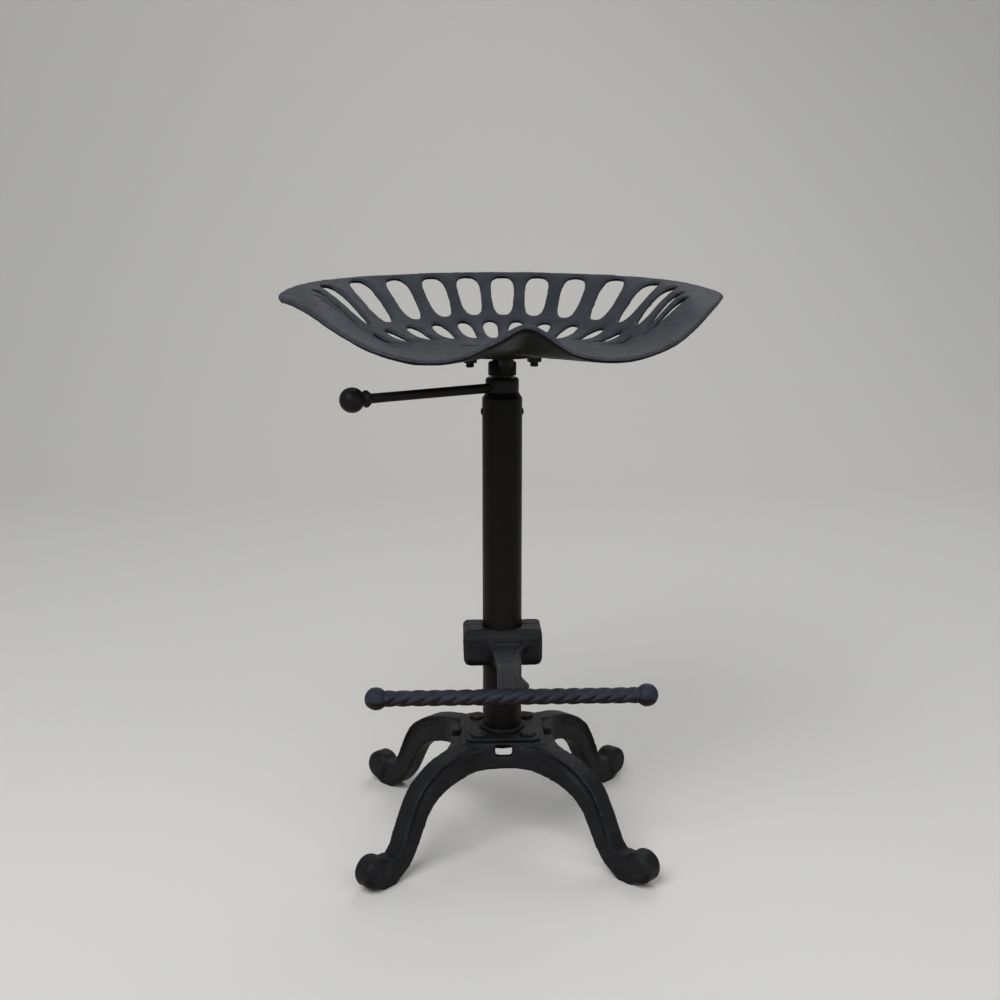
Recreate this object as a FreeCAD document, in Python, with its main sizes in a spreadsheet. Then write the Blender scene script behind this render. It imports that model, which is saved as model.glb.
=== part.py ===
import FreeCAD, Part
import math
import os
import re

import Sketcher
from FreeCAD import Placement, Rotation, Vector

doc = FreeCAD.newDocument("tractor_seat_stool")
sheet = doc.addObject("Spreadsheet::Sheet", "sizes")
os.makedirs("parts", exist_ok=True)

# Driving dimensions, in mm and degrees. Heights are above the floor.
SIZES = {
    # base casting: deck, skirt wall with a window on each side, four legs with scroll feet
    "deck_width": 86,
    "deck_top": 112,
    "deck_thickness": 5,
    "skirt_bottom": 84,
    "skirt_thickness": 8,
    "web_top": 107.5,
    "middle_boss_radius": 24,
    "middle_boss_bottom": 98.4,
    "window_width": 17,
    "window_bottom": 97.5,
    "window_height": 13,
    "leg_width": 20,
    "foot_reach": 185,
    "foot_height": 19,
    "foot_radius": 16,
    "foot_width": 24,
    "foot_bevel": 4,
    "valley_run": 13,
    "valley_height": 28.5,
    "toe_height": 3.5,
    "sole_run": 8,
    # flange plate and its bolts
    "flange_width": 76,
    "flange_thickness": 3,
    "flange_corner": 6,
    "bolt_spacing": 50,
    "bolt_radius": 5,
    "bolt_hole_radius": 5.5,
    "bolt_head_circle": 9.2,
    "bolt_head_height": 3,
    "bolt_length": 22,
    "washer_radius": 9.6,
    "washer_thickness": 2,
    "nut_height": 8,
    # post, its weld and the threaded bush in its top
    "post_radius": 20,
    "post_wall": 3,
    "post_length": 346,
    "weld_size": 5,
    "weld_crown_out": 1.75,
    "weld_crown_up": 3.25,
    "bush_shank": 36,
    "bush_cone": 5.6,
    "bush_cone_radius": 16.4,
    "bush_lip": 0.4,
    "rivet_radius": 3.5,
    "rivet_head": 1.4,
    "rivet_drop": 14,
    "rivet_shank_gap": 1.5,
    "thread_gap": 0.08,
    "nut_gap": 0.05,
    # lock nut with its lever
    "hub_radius": 16.6,
    "hub_height": 14.1,
    "hub_lift": 0.3,
    "hub_chamfer": 1.6,
    "hub_foot_chamfer": 0.6,
    "lever_turn": 210.6,
    "lever_length": 166.5,
    "lever_radius": 4.8,
    "lever_height": 4.5,
    "lever_socket_gap": 0.6,
    "rod_in_ball": 4,
    "ferrule_in_ball": 1.8,
    "ferrule_radius": 8.3,
    "ferrule_length": 9,
    "ball_radius": 12,
    # footrest clamp, arm and bar
    "collar_width": 80,
    "collar_depth": 26,
    "collar_bottom": 187.5,
    "collar_height": 38.5,
    "collar_split": 1,
    "collar_chamfer": 4,
    "collar_round": 9,
    "collar_bore_gap": 0.08,
    "collar_blind": 4,
    "clamp_spacing": 60,
    "clamp_radius": 4,
    "clamp_length": 40,
    "clamp_head_circle": 7.4,
    "clamp_head_height": 5.3,
    "clamp_washer_radius": 8,
    "clamp_washer_thickness": 1.6,
    "clamp_hole_gap": 0.1,
    "arm_middle": 5.2,
    "arm_width": 24,
    "arm_root_top": 23.9,
    "arm_root_low": 4.6,
    "arm_throat": 6,
    "arm_nose": 4,
    "arm_tip_rise": 10,
    "arm_crown_rise": 30,
    "arm_lip_drop": 2,
    "bar_middle": 7.3,
    "bar_front": 60,
    "bar_height": 168.7,
    "bar_radius": 7.6,
    "bar_lobe": 0.6,
    "bar_lead": 61.6,
    "bar_half": 135.2,
    "bar_ball_radius": 11.5,
    "bar_ball_flat": 8.6,
    # lift screw, the bush at its lower end, and what holds the bush
    "screw_radius": 10,
    "screw_bottom": 264.3,
    "screw_chamfer": 1.2,
    "journal_chamfer": 1,
    "journal_radius": 6,
    "journal_length": 45,
    "guide_bottom": 236,
    "guide_height": 28,
    "guide_gap": 0.3,
    "end_washer_radius": 12,
    "end_washer_thickness": 2,
    "end_nut_circle": 10.4,
    "end_nut_height": 10,
    # hub, plate and bolts under the seat
    "boss_radius": 14,
    "boss_bottom": 483.4,
    "boss_height": 13.6,
    "boss_chamfer": 1.5,
    "boss_cap": 4,
    "neck_radius": 9.7,
    "neck_height": 6,
    "neck_fillet": 0.8,
    "plate_radius": 38.5,
    "plate_thickness": 5,
    "grub_radius": 3,
    "grub_height": 5,
    "grub_inset": 0.4,
    "seat_bolt_circle": 32,
    "seat_bolt_radius": 4,
    "seat_hole_radius": 4.4,
    "seat_bolt_head": 9,
    "seat_bolt_dome": 4,
    "seat_bolt_length": 22,
    "seat_washer_gap": 0.1,
    "seat_washer_radius": 7,
    "seat_washer_thickness": 1,
    "seat_nut_circle": 7.5,
    "seat_nut_height": 6,
    # seat pan
    "seat_turn": 4.4,
    "pan_thickness": 5.5,
    "pan_bead": 1.6,
    "outer_slot_wide": 27,
    "outer_slot_narrow": 19,
    "inner_slot_wide": 18,
    "inner_slot_narrow": 9,
}
for row, (word, number) in enumerate(SIZES.items(), start=1):
    sheet.set(f"A{row}", word)
    sheet.set(f"B{row}", str(number))
    sheet.setAlias(f"B{row}", word)
doc.recompute()

nodes = []


def sized(formula):
    """Point the words of a formula at the cells of the sheet."""
    return re.sub(r"[a-z][a-z_]*", lambda word: "sizes." + word.group(), formula)


def value(formula):
    """Number that a formula of sheet words has now."""
    result = sheet.evalExpression(sized(formula))
    return float(getattr(result, "Value", result))


def bind(item, **formulas):
    """Bind properties to formulas; a double underscore stands for a dot."""
    for name, formula in formulas.items():
        item.setExpression(name.replace("__", "."), sized(formula))


def put(item, x="0", y="0", z="0", turn=None):
    """Place an object at formulas of the sheet, turned first if a rotation is given."""
    if turn is not None:
        item.Placement = Placement(Vector(0, 0, 0), turn)
    bind(item, Placement__Base__x=x, Placement__Base__y=y, Placement__Base__z=z)
    return item


def keep(item, label):
    """Name an object as one node of the part."""
    item.Label = label
    nodes.append(item)
    return item


def origin_plane(body, role):
    return next(item for item in body.Origin.OriginFeatures if item.Role == role)


def sketch_on(body, name, role, offset=None):
    """Empty sketch on one of the body's own origin planes."""
    sketch = body.newObject("Sketcher::SketchObject", name)
    sketch.AttachmentSupport = [(origin_plane(body, role), "")]
    sketch.MapMode = "FlatFace"
    if offset is not None:
        sketch.AttachmentOffset = offset
    return sketch


def outline(sketch, corners):
    """Closed run of lines whose corners are bound to pairs of formulas."""
    points = [Vector(value(across), value(up), 0) for across, up in corners]
    count = len(points)
    for index in range(count):
        sketch.addGeometry(Part.LineSegment(points[index], points[(index + 1) % count]), False)
    for index in range(count):
        follower = (index + 1) % count
        sketch.addConstraint(Sketcher.Constraint("Coincident", index, 2, follower, 1))
    for index, (across, up) in enumerate(corners):
        for kind, formula in (("DistanceX", across), ("DistanceY", up)):
            row = sketch.addConstraint(
                Sketcher.Constraint(kind, -1, 1, index, 1, value(formula)))
            sketch.setExpression(f"Constraints[{row}]", sized(formula))


def circle(sketch, radius, x="0", y="0"):
    """Circle whose radius and centre are bound to formulas."""
    centre = Vector(value(x), value(y), 0)
    index = sketch.addGeometry(Part.Circle(centre, Vector(0, 0, 1), value(radius)), False)
    for kind, formula in (("DistanceX", x), ("DistanceY", y)):
        row = sketch.addConstraint(
            Sketcher.Constraint(kind, -1, 1, index, 3, value(formula)))
        sketch.setExpression(f"Constraints[{row}]", sized(formula))
    row = sketch.addConstraint(Sketcher.Constraint("Radius", index, value(radius)))
    sketch.setExpression(f"Constraints[{row}]", sized(radius))


def rectangle(sketch, half_x, half_y, x="0", y="0"):
    outline(sketch, [
        (f"{x} - ({half_x})", f"{y} - ({half_y})"),
        (f"{x} + ({half_x})", f"{y} - ({half_y})"),
        (f"{x} + ({half_x})", f"{y} + ({half_y})"),
        (f"{x} - ({half_x})", f"{y} + ({half_y})")])


def pad(body, sketch, length):
    feature = body.newObject("PartDesign::Pad", sketch.Name + "_pad")
    feature.Profile = sketch
    bind(feature, Length=length)
    sketch.Visibility = False
    return feature


def pocket(body, sketch, length=None, upward=False):
    """Cut a sketch out of the body, down by default, and make sure that it cuts."""
    doc.recompute()
    before = body.Shape.Volume
    feature = body.newObject("PartDesign::Pocket", sketch.Name + "_pocket")
    feature.Profile = sketch
    feature.Reversed = upward
    if length is None:
        feature.Type = "ThroughAll"
    else:
        bind(feature, Length=length)
    doc.recompute()
    if body.Shape.Volume > before - 0.01:
        raise RuntimeError(sketch.Name + " cuts nothing")
    return feature


def turned(label, corners, place=None):
    """Body revolved about its Z axis from (radius, height) formulas."""
    body = doc.addObject("PartDesign::Body", label)
    sketch = sketch_on(body, label + "_section", "XZ_Plane")
    outline(sketch, corners)
    turn = body.newObject("PartDesign::Revolution", label + "_turn")
    turn.Profile = sketch
    turn.ReferenceAxis = (sketch, ["V_Axis"])
    turn.Angle = 360
    if place is not None:
        body.Placement = place
    return body


def plate(label, half, thickness, height):
    """Square plate body with its lower face at a height."""
    body = doc.addObject("PartDesign::Body", label)
    sketch = sketch_on(body, label + "_outline", "XY_Plane")
    rectangle(sketch, half, half)
    pad(body, sketch, thickness)
    put(body, z=height)
    return body


def closed_curve(points):
    """Smooth closed wire through points, with even parameters so that like wires loft well."""
    curve = Part.BSplineCurve()
    marks = [index / len(points) for index in range(len(points) + 1)]
    curve.interpolate(Points=points, Parameters=marks, PeriodicFlag=True)
    return Part.Wire([curve.toShape()])


def cylinder(name, radius, height, **place):
    item = doc.addObject("Part::Cylinder", name)
    bind(item, Radius=radius, Height=height)
    return put(item, **place)


def hexagon(name, circle_radius, height, **place):
    item = doc.addObject("Part::Prism", name)
    item.Polygon = 6
    bind(item, Circumradius=circle_radius, Height=height)
    return put(item, **place)


def fused(name, *items):
    item = doc.addObject("Part::MultiFuse", name)
    item.Shapes = list(items)
    return item


def cut(name, base, tool):
    item = doc.addObject("Part::Cut", name)
    item.Base = base
    item.Tool = tool
    return item


def group(label, items):
    """Separate solids kept together as one node."""
    item = doc.addObject("Part::Compound", label)
    item.Links = items
    return keep(item, label)


def ring(name, radius, bore, height, **place):
    """Washer."""
    outer = cylinder(name + "_outer", radius, height, **place)
    inner = cylinder(name + "_bore", bore, height, **place)
    return cut(name, outer, inner)


def nut(name, circle_radius, bore, height, **place):
    outer = hexagon(name + "_outer", circle_radius, height, **place)
    inner = cylinder(name + "_bore", bore, height, **place)
    return cut(name, outer, inner)


# Base casting: the deck first, then one leg repeated round the post, then the four feet

# Side view of a leg in (distance from the post's axis, height above the floor): the top from
# the deck to the valley behind the foot, and the underside from the heel back to the deck.
# The sole between them runs a little below the floor and is cut off level with it.
LEG_TOP = [
    (38, 111), (56, 110.3), (70, 108.6), (86, 105.6), (102, 100.5), (114, 94.3), (124, 87.5),
    (131.3, 80), (137.3, 70.7), (142.3, 61), (147.2, 50.5), (151.2, 41.5), (155, 33.5), (160, 27.3)]
LEG_UNDERSIDE = [
    (165, -1), (153, 6.5), (143.5, 14), (137.5, 21.5), (132, 30), (127, 39.5), (122, 49),
    (117, 57), (110.5, 64), (103, 69.5), (94, 73.8), (84, 76.8), (73, 79), (61, 80.3), (38, 81)]

# One eighth of the web that joins the legs below the deck, from the middle of a side to a leg:
# hollow at the front and back, nearly straight at the left and right.
HOLLOW_WEB = [(12, 43), (27, 48.5), (46, 59.4)]
STRAIGHT_WEB = [(12, 53), (27, 54.5), (46, 59.4)]


def smooth_run(points):
    curve = Part.BSplineCurve()
    curve.interpolate([Vector(across, up, 0) for across, up in points])
    return curve


def leg_outline(sketch):
    """Side view of a leg: top curve, run round the foot and its sole, then the underside."""
    top = smooth_run(LEG_TOP)
    underside = smooth_run(LEG_UNDERSIDE)
    reach = value("foot_reach")
    valley_end = Vector(reach - value("valley_run"), value("valley_height"), 0)
    middle = Vector(reach, value("foot_height"), 0)
    toe = Vector(reach, value("toe_height"), 0)
    sole = Vector(reach - value("sole_run"), underside.StartPoint.y, 0)
    corners = [top.EndPoint, valley_end, middle, toe, sole, underside.StartPoint]
    sketch.addGeometry(top, False)
    for start, end in zip(corners, corners[1:]):
        sketch.addGeometry(Part.LineSegment(start, end), False)
    sketch.addGeometry(underside, False)
    sketch.addGeometry(Part.LineSegment(underside.EndPoint, top.StartPoint), False)


def web_outline(sketch):
    """Outline of the web, drawn a quarter at a time."""
    corners = []
    for quarter in range(4):
        turn = Rotation(Vector(0, 0, 1), -90 * quarter)
        sides = (HOLLOW_WEB, STRAIGHT_WEB) if quarter % 2 == 0 else (STRAIGHT_WEB, HOLLOW_WEB)
        run = sides[0] + [(up, across) for across, up in reversed(sides[1])]
        corners.extend(turn.multVec(Vector(across, up, 0)) for across, up in run)
    for index, corner in enumerate(corners):
        sketch.addGeometry(Part.LineSegment(corner, corners[(index + 1) % len(corners)]), False)


def foot(index):
    """Barrel-shaped foot across the end of a leg."""
    half = "foot_width / 2"
    barrel = turned(f"foot_{index}", [
        ("0", f"-({half})"),
        ("foot_radius - foot_bevel", f"-({half})"),
        ("foot_radius", f"foot_bevel - {half}"),
        ("foot_radius", f"{half} - foot_bevel"),
        ("foot_radius - foot_bevel", half),
        ("0", half)])
    bearing = Rotation(Vector(0, 0, 1), 45 + 90 * index)
    spot = bearing.multVec(Vector(value("foot_reach"), 0, value("foot_height")))
    barrel.Placement = Placement(spot, bearing.multiply(Rotation(Vector(1, 0, 0), 90)))
    return barrel


def base_casting():
    body = doc.addObject("PartDesign::Body", "deck_and_legs")
    for name, top in (("deck", "deck_top"), ("web", "web_top")):
        start = Placement(Vector(0, 0, value("skirt_bottom")), Rotation())
        level = sketch_on(body, name, "XY_Plane", start)
        level.setExpression("AttachmentOffset.Base.z", sized("skirt_bottom"))
        if name == "deck":
            rectangle(level, "deck_width / 2", "deck_width / 2")
        else:
            web_outline(level)
        pad(body, level, top + " - skirt_bottom")

    diagonal = Rotation(Vector(0, 1, 0), 45)
    middle = diagonal.multVec(Vector(0, 0, -value("leg_width") / 2))
    leg = sketch_on(body, "leg", "XZ_Plane", Placement(middle, diagonal))
    leg_outline(leg)
    leg_pad = pad(body, leg, "leg_width")
    doc.recompute()
    pattern = body.newObject("PartDesign::PolarPattern", "legs")
    pattern.Originals = [leg_pad]
    pattern.Axis = (origin_plane(body, "Z_Axis"), [""])
    pattern.Angle = 360
    pattern.Occurrences = 4
    body.Tip = pattern

    hollow = sketch_on(body, "hollow", "XY_Plane")
    rectangle(hollow, "deck_width / 2 - skirt_thickness", "deck_width / 2 - skirt_thickness")
    pocket(body, hollow, "deck_top - deck_thickness", upward=True)
    holes = sketch_on(body, "deck_holes", "XY_Plane")
    for across in ("-", ""):
        for along in ("-", ""):
            circle(holes, "bolt_hole_radius", across + "bolt_spacing / 2", along + "bolt_spacing / 2")
    pocket(body, holes, upward=True)

    below = doc.addObject("Part::Box", "below_floor")
    bind(below, Length="foot_reach * 3", Width="foot_reach * 3", Height="foot_radius")
    put(below, x="-foot_reach * 1.5", y="-foot_reach * 1.5", z="-foot_radius")
    openings = [below]
    inner, half = "(deck_width / 2 - skirt_thickness)", "window_width / 2"
    window_corners = [(inner, "-" + half), (half, inner), ("-" + inner, half), ("-" + half, "-" + inner)]
    for quarter, (x, y) in enumerate(window_corners):
        window = doc.addObject("Part::Box", f"window_{quarter}")
        bind(window, Length="skirt_thickness * 3", Width="window_width", Height="window_height")
        openings.append(put(window, x, y, "window_bottom", Rotation(Vector(0, 0, 1), 90 * quarter)))
    boss = cylinder("middle_boss", "middle_boss_radius", "deck_top - middle_boss_bottom - 1",
                    z="middle_boss_bottom")
    casting = fused("casting", body, boss, *[foot(index) for index in range(4)])
    keep(cut("base_casting", casting, fused("openings", *openings)), "base_casting")


def bolt_corners():
    """Signs of the four corners of the flange's bolt square."""
    return [("-", "-"), ("", "-"), ("", ""), ("-", "")]


def post_flange():
    body = plate("post_flange", "flange_width / 2", "flange_thickness", "deck_top")
    doc.recompute()
    upright = [f"Edge{index + 1}" for index, edge in enumerate(body.Shape.Edges)
               if abs(edge.tangentAt(edge.FirstParameter).z) > 0.99]
    solid = body.Tip
    corners = body.newObject("PartDesign::Fillet", "flange_corners")
    corners.Base = (solid, upright)
    bind(corners, Radius="flange_corner")
    holes = sketch_on(body, "flange_holes", "XY_Plane")
    for across, along in bolt_corners():
        circle(holes, "bolt_hole_radius", across + "bolt_spacing / 2", along + "bolt_spacing / 2")
    pocket(body, holes, upward=True)
    keep(body, "post_flange")


def flange_fasteners():
    bolts, washers, nuts = [], [], []
    head_seat = "deck_top + flange_thickness"
    under_deck = "deck_top - deck_thickness"
    for index, (across, along) in enumerate(bolt_corners()):
        x = across + "bolt_spacing / 2"
        y = along + "bolt_spacing / 2"
        head = hexagon(f"bolt_head_{index}", "bolt_head_circle", "bolt_head_height",
                       x=x, y=y, z=head_seat)
        shank = cylinder(f"bolt_shank_{index}", "bolt_radius", "bolt_length", x=x, y=y,
                         z=head_seat + " - bolt_length")
        bolts.append(fused(f"bolt_{index}", head, shank))
        washers.append(ring(f"washer_{index}", "washer_radius", "bolt_hole_radius",
                            "washer_thickness", x=x, y=y, z=under_deck + " - washer_thickness"))
        nuts.append(nut(f"nut_{index}", "bolt_head_circle", "bolt_radius + nut_gap", "nut_height",
                        x=x, y=y, z=under_deck + " - washer_thickness - nut_height"))
    group("flange_bolts", bolts)
    group("flange_washers", washers)
    group("flange_nuts", nuts)


# Post, weld, threaded bush and rivets

def post():
    foot = "deck_top + flange_thickness"
    top = foot + " + post_length"
    tube = turned("post_tube", [
        ("post_radius - post_wall", foot),
        ("post_radius", foot),
        ("post_radius", top),
        ("post_radius - post_wall", top)])
    drill = sketch_on(tube, "rivet_holes", "YZ_Plane")
    circle(drill, "rivet_radius", "0", top + " - rivet_drop")
    pocket(tube, drill).Midplane = True
    keep(tube, "post_tube")
    keep(turned("post_weld", [
        ("post_radius", foot),
        ("post_radius + weld_size", foot),
        ("post_radius + weld_crown_out", foot + " + weld_crown_up"),
        ("post_radius", foot + " + weld_size")]), "post_weld")
    bore = "screw_radius + thread_gap"
    bush = turned("post_nut", [
        (bore, top + " - bush_shank"),
        ("post_radius - post_wall", top + " - bush_shank"),
        ("post_radius - post_wall", top),
        ("post_radius - bush_lip", top),
        ("bush_cone_radius", top + " + bush_cone"),
        (bore, top + " + bush_cone")])
    seats = sketch_on(bush, "rivet_seats", "YZ_Plane")
    circle(seats, "rivet_radius", "0", top + " - rivet_drop")
    pocket(bush, seats).Midplane = True
    keep(bush, "post_nut")
    rivets = []
    for name, sign in (("left", -1), ("right", 1)):
        shank = cylinder("rivet_shank_" + name, "rivet_radius",
                         "post_radius - screw_radius - rivet_shank_gap",
                         x=f"{sign} * (screw_radius + rivet_shank_gap)", z=top + " - rivet_drop",
                         turn=Rotation(Vector(0, 1, 0), 90 * sign))
        head = cylinder("rivet_head_" + name, "rivet_radius * 1.1", "rivet_head",
                        x=f"{sign} * post_radius", z=top + " - rivet_drop",
                        turn=Rotation(Vector(0, 1, 0), 90 * sign))
        rivets.append(fused("rivet_" + name, shank, head))
    group("insert_rivets", rivets)


# Lock nut with its ball-ended lever, drawn along X and then turned about the post

def lock_lever():
    low = "deck_top + flange_thickness + post_length + bush_cone + hub_lift"
    bore = "screw_radius + thread_gap"
    turn = Rotation(Vector(0, 0, 1), value("lever_turn"))
    hub = turned("lock_hub", [
        (bore, low),
        ("hub_radius - hub_foot_chamfer", low),
        ("hub_radius", low + " + hub_foot_chamfer"),
        ("hub_radius", low + " + hub_height - hub_chamfer"),
        ("hub_radius - hub_chamfer", low + " + hub_height"),
        (bore, low + " + hub_height")])
    socket = sketch_on(hub, "lever_socket", "YZ_Plane")
    circle(socket, "lever_radius", "0", low + " + lever_height")
    pocket(hub, socket, "hub_radius + 1", upward=True)
    hub.Placement = Placement(Vector(0, 0, 0), turn)
    keep(hub, "lock_hub")
    along = turn.multiply(Rotation(Vector(0, 1, 0), 90))

    def lever_piece(label, corners):
        body = turned(label, corners)
        body.Placement = Placement(Vector(0, 0, value(low + " + lever_height")), along)
        bind(body, Placement__Base__z=low + " + lever_height")
        return keep(body, label)

    lever_piece("lever_rod", [
        ("0", "screw_radius + lever_socket_gap"),
        ("lever_radius", "screw_radius + lever_socket_gap"),
        ("lever_radius", "lever_length - ball_radius + rod_in_ball"),
        ("0", "lever_length - ball_radius + rod_in_ball")])
    ferrule_end = "lever_length - ball_radius + ferrule_in_ball"
    lever_piece("lever_ferrule", [
        ("lever_radius", ferrule_end + " - ferrule_length"),
        ("ferrule_radius - 2.4", ferrule_end + " - ferrule_length"),
        ("ferrule_radius", ferrule_end + " - ferrule_length * 0.6"),
        ("ferrule_radius", ferrule_end + " - ferrule_length * 0.35"),
        ("ferrule_radius - 2.2", ferrule_end),
        ("lever_radius", ferrule_end)])
    ball = doc.addObject("Part::Sphere", "ball_round")
    bind(ball, Radius="ball_radius")
    reach = Vector(value("lever_length"), 0, 0)
    height = Vector(0, 0, value(low + " + lever_height"))
    ball.Placement = Placement(turn.multVec(reach) + height, along)
    hole = cylinder("ball_hole", "ferrule_radius", ferrule_end, z=low + " + lever_height", turn=along)
    tip = cylinder("ball_tip_hole", "lever_radius", "lever_length - ball_radius + rod_in_ball",
                   z=low + " + lever_height", turn=along)
    keep(cut("lever_ball", ball, fused("ball_holes", hole, tip)), "lever_ball")


# Footrest: two clamp halves, their bolts, the arm, and the twisted bar with a ball at each end

def clamp_half(label, near, far):
    """Half of the clamp between two formulas for its faces along Y."""
    body = doc.addObject("PartDesign::Body", label)
    half = "collar_width / 2"
    block = sketch_on(body, label + "_block", "XY_Plane")
    slope = "collar_chamfer"
    side = "" if value(far) > 0 else "-"
    outline(block, [
        (f"-({half})", near),
        (half, near),
        (half, f"{far} - ({side}{slope})"),
        (f"{half} - {slope}", far),
        (f"{slope} - {half}", far),
        (f"-({half})", f"{far} - ({side}{slope})")])
    pad(body, block, "collar_height")
    bore = sketch_on(body, label + "_bore", "XY_Plane")
    circle(bore, "post_radius + collar_bore_gap")
    pocket(body, bore, upward=True)
    bolts = sketch_on(body, label + "_bolts", "XZ_Plane")
    for across in ("-", ""):
        circle(bolts, "clamp_radius + clamp_hole_gap", across + "clamp_spacing / 2",
               "collar_height / 2")
    return body, bolts


def long_edges(shape, far):
    """Names of the edges along X on the far face of a clamp half."""
    names = []
    for index, edge in enumerate(shape.Edges):
        middle = edge.valueAt((edge.FirstParameter + edge.LastParameter) / 2)
        straight = abs(edge.tangentAt(edge.FirstParameter).x) > 0.99
        if straight and abs(middle.y - far) < 0.01:
            names.append(f"Edge{index + 1}")
    return names


def footrest():
    front, front_bolts = clamp_half("footrest_bracket", "-collar_split / 2", "-collar_depth")
    pocket(front, front_bolts, "collar_depth - collar_blind", upward=True)
    rear, rear_bolts = clamp_half("collar_cap", "collar_split / 2", "collar_depth")
    pocket(rear, rear_bolts)
    for body, far in ((front, -value("collar_depth")), (rear, value("collar_depth"))):
        solid = body.Tip
        edges = long_edges(body.Shape, far)
        rounding = body.newObject("PartDesign::Fillet", body.Name + "_round")
        rounding.Base = (solid, edges)
        bind(rounding, Radius="collar_round")
        doc.recompute()

    left = value("arm_middle") - value("arm_width") / 2
    arm = sketch_on(front, "arm", "YZ_Plane", Placement(Vector(0, 0, left), Rotation()))
    arm.setExpression("AttachmentOffset.Base.z", sized("arm_middle - arm_width / 2"))
    bar_drop = "bar_height - collar_bottom"
    outline(arm, [
        ("arm_lip_drop - collar_depth", "arm_root_top"),
        ("arm_lip_drop - collar_depth", "arm_root_low"),
        ("arm_throat - bar_front", bar_drop + " - arm_lip_drop"),
        ("-bar_front - arm_nose", bar_drop + " - arm_lip_drop"),
        ("-bar_front - arm_throat", bar_drop + " + arm_tip_rise"),
        ("arm_throat - bar_front", bar_drop + " + arm_crown_rise"),
        ("-collar_depth - arm_throat", "arm_root_top")])
    pad(front, arm, "arm_width")
    saddle = sketch_on(front, "saddle", "YZ_Plane")
    circle(saddle, "bar_radius + bar_lobe", "-bar_front", bar_drop)
    pocket(front, saddle).Midplane = True
    put(front, z="collar_bottom")
    keep(front, "footrest_bracket")
    put(rear, z="collar_bottom")
    keep(rear, "collar_cap")

    bolts, washers = [], []
    middle = "collar_bottom + collar_height / 2"
    back = Rotation(Vector(1, 0, 0), -90)
    for index, across in enumerate(("-", "")):
        x = across + "clamp_spacing / 2"
        seat = "collar_depth + clamp_washer_thickness"
        head = hexagon(f"clamp_head_{index}", "clamp_head_circle", "clamp_head_height",
                       x=x, y=seat, z=middle, turn=back)
        shank = cylinder(f"clamp_shank_{index}", "clamp_radius", "clamp_length",
                         x=x, y=seat + " - clamp_length", z=middle, turn=back)
        bolts.append(fused(f"clamp_bolt_{index}", head, shank))
        washers.append(ring(f"clamp_washer_{index}", "clamp_washer_radius",
                            "clamp_radius + clamp_hole_gap",
                            "clamp_washer_thickness", x=x, y="collar_depth", z=middle, turn=back))
    group("collar_bolts", bolts)
    group("collar_washers", washers)
    foot_bar()


def foot_bar():
    """Bar of four rounded lobes, lofted through sections that turn as they go along X."""
    length = 2 * (value("bar_half") - value("bar_ball_flat"))
    lead = value("bar_lead")
    mean = value("bar_radius")
    lobe = value("bar_lobe")
    per_turn = 6
    spare = 3
    count = math.ceil(length / lead * per_turn / 2) + spare
    sections = []
    for index in range(-count, count + 1):
        along = lead * index / per_turn
        twist = 2 * math.pi * index / per_turn
        spots = []
        for step in range(16):
            angle = 2 * math.pi * step / 16
            radius = mean + lobe * math.cos(4 * angle)
            bearing = angle - twist
            spots.append(Vector(along, radius * math.cos(bearing), radius * math.sin(bearing)))
        sections.append(closed_curve(spots))
    # the loft is longer than the bar, because a loft swells at its free ends
    spare_bar = Part.makeLoft(sections, True, False)
    span = Part.makeCylinder(2 * mean, length, Vector(-length / 2, 0, 0), Vector(1, 0, 0))
    bar = doc.addObject("Part::Feature", "foot_bar")
    bar.Shape = spare_bar.common(span).Solids[0]
    put(bar, x="bar_middle", y="-bar_front", z="bar_height")
    keep(bar, "foot_bar")
    for name, sign in (("left", "-"), ("right", "")):
        ball = doc.addObject("Part::Sphere", "bar_ball_" + name)
        bind(ball, Radius="bar_ball_radius")
        sideways = Rotation(Vector(0, 1, 0), 90)
        put(ball, x=f"bar_middle {sign or '+'} bar_half", y="-bar_front", z="bar_height",
            turn=sideways)
        inner = cylinder("bar_seat_" + name, "2 * bar_ball_radius",
                         "2 * (bar_half - bar_ball_flat)",
                         x="bar_middle - bar_half + bar_ball_flat", y="-bar_front",
                         z="bar_height", turn=sideways)
        keep(cut("foot_bar_ball_" + name, ball, inner), "foot_bar_ball_" + name)


# Guide bush, lift screw and what holds the bush on it

def lift():
    keep(turned("guide_bush", [
        ("journal_radius + thread_gap", "guide_bottom"),
        ("post_radius - post_wall - thread_gap", "guide_bottom"),
        ("post_radius - post_wall - thread_gap", "guide_bottom + guide_height"),
        ("journal_radius + thread_gap", "guide_bottom + guide_height")]), "guide_bush")
    top = "boss_bottom + boss_height"
    keep(turned("lift_screw", [
        ("0", "screw_bottom - journal_length"),
        ("journal_radius - journal_chamfer", "screw_bottom - journal_length"),
        ("journal_radius", "screw_bottom - journal_length + journal_chamfer"),
        ("journal_radius", "screw_bottom"),
        ("screw_radius - screw_chamfer", "screw_bottom"),
        ("screw_radius", "screw_bottom + screw_chamfer"),
        ("screw_radius", top + " - boss_cap"),
        ("0", top + " - boss_cap")]), "lift_screw")
    under = "guide_bottom - guide_gap"
    keep(ring("screw_end_washer", "end_washer_radius", "journal_radius + nut_gap",
              "end_washer_thickness", z=under + " - end_washer_thickness"), "screw_end_washer")
    keep(nut("screw_end_nut", "end_nut_circle", "journal_radius + nut_gap", "end_nut_height",
             z=under + " - end_washer_thickness - end_nut_height"), "screw_end_nut")


# Boss, plate and fasteners under the seat

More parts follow.
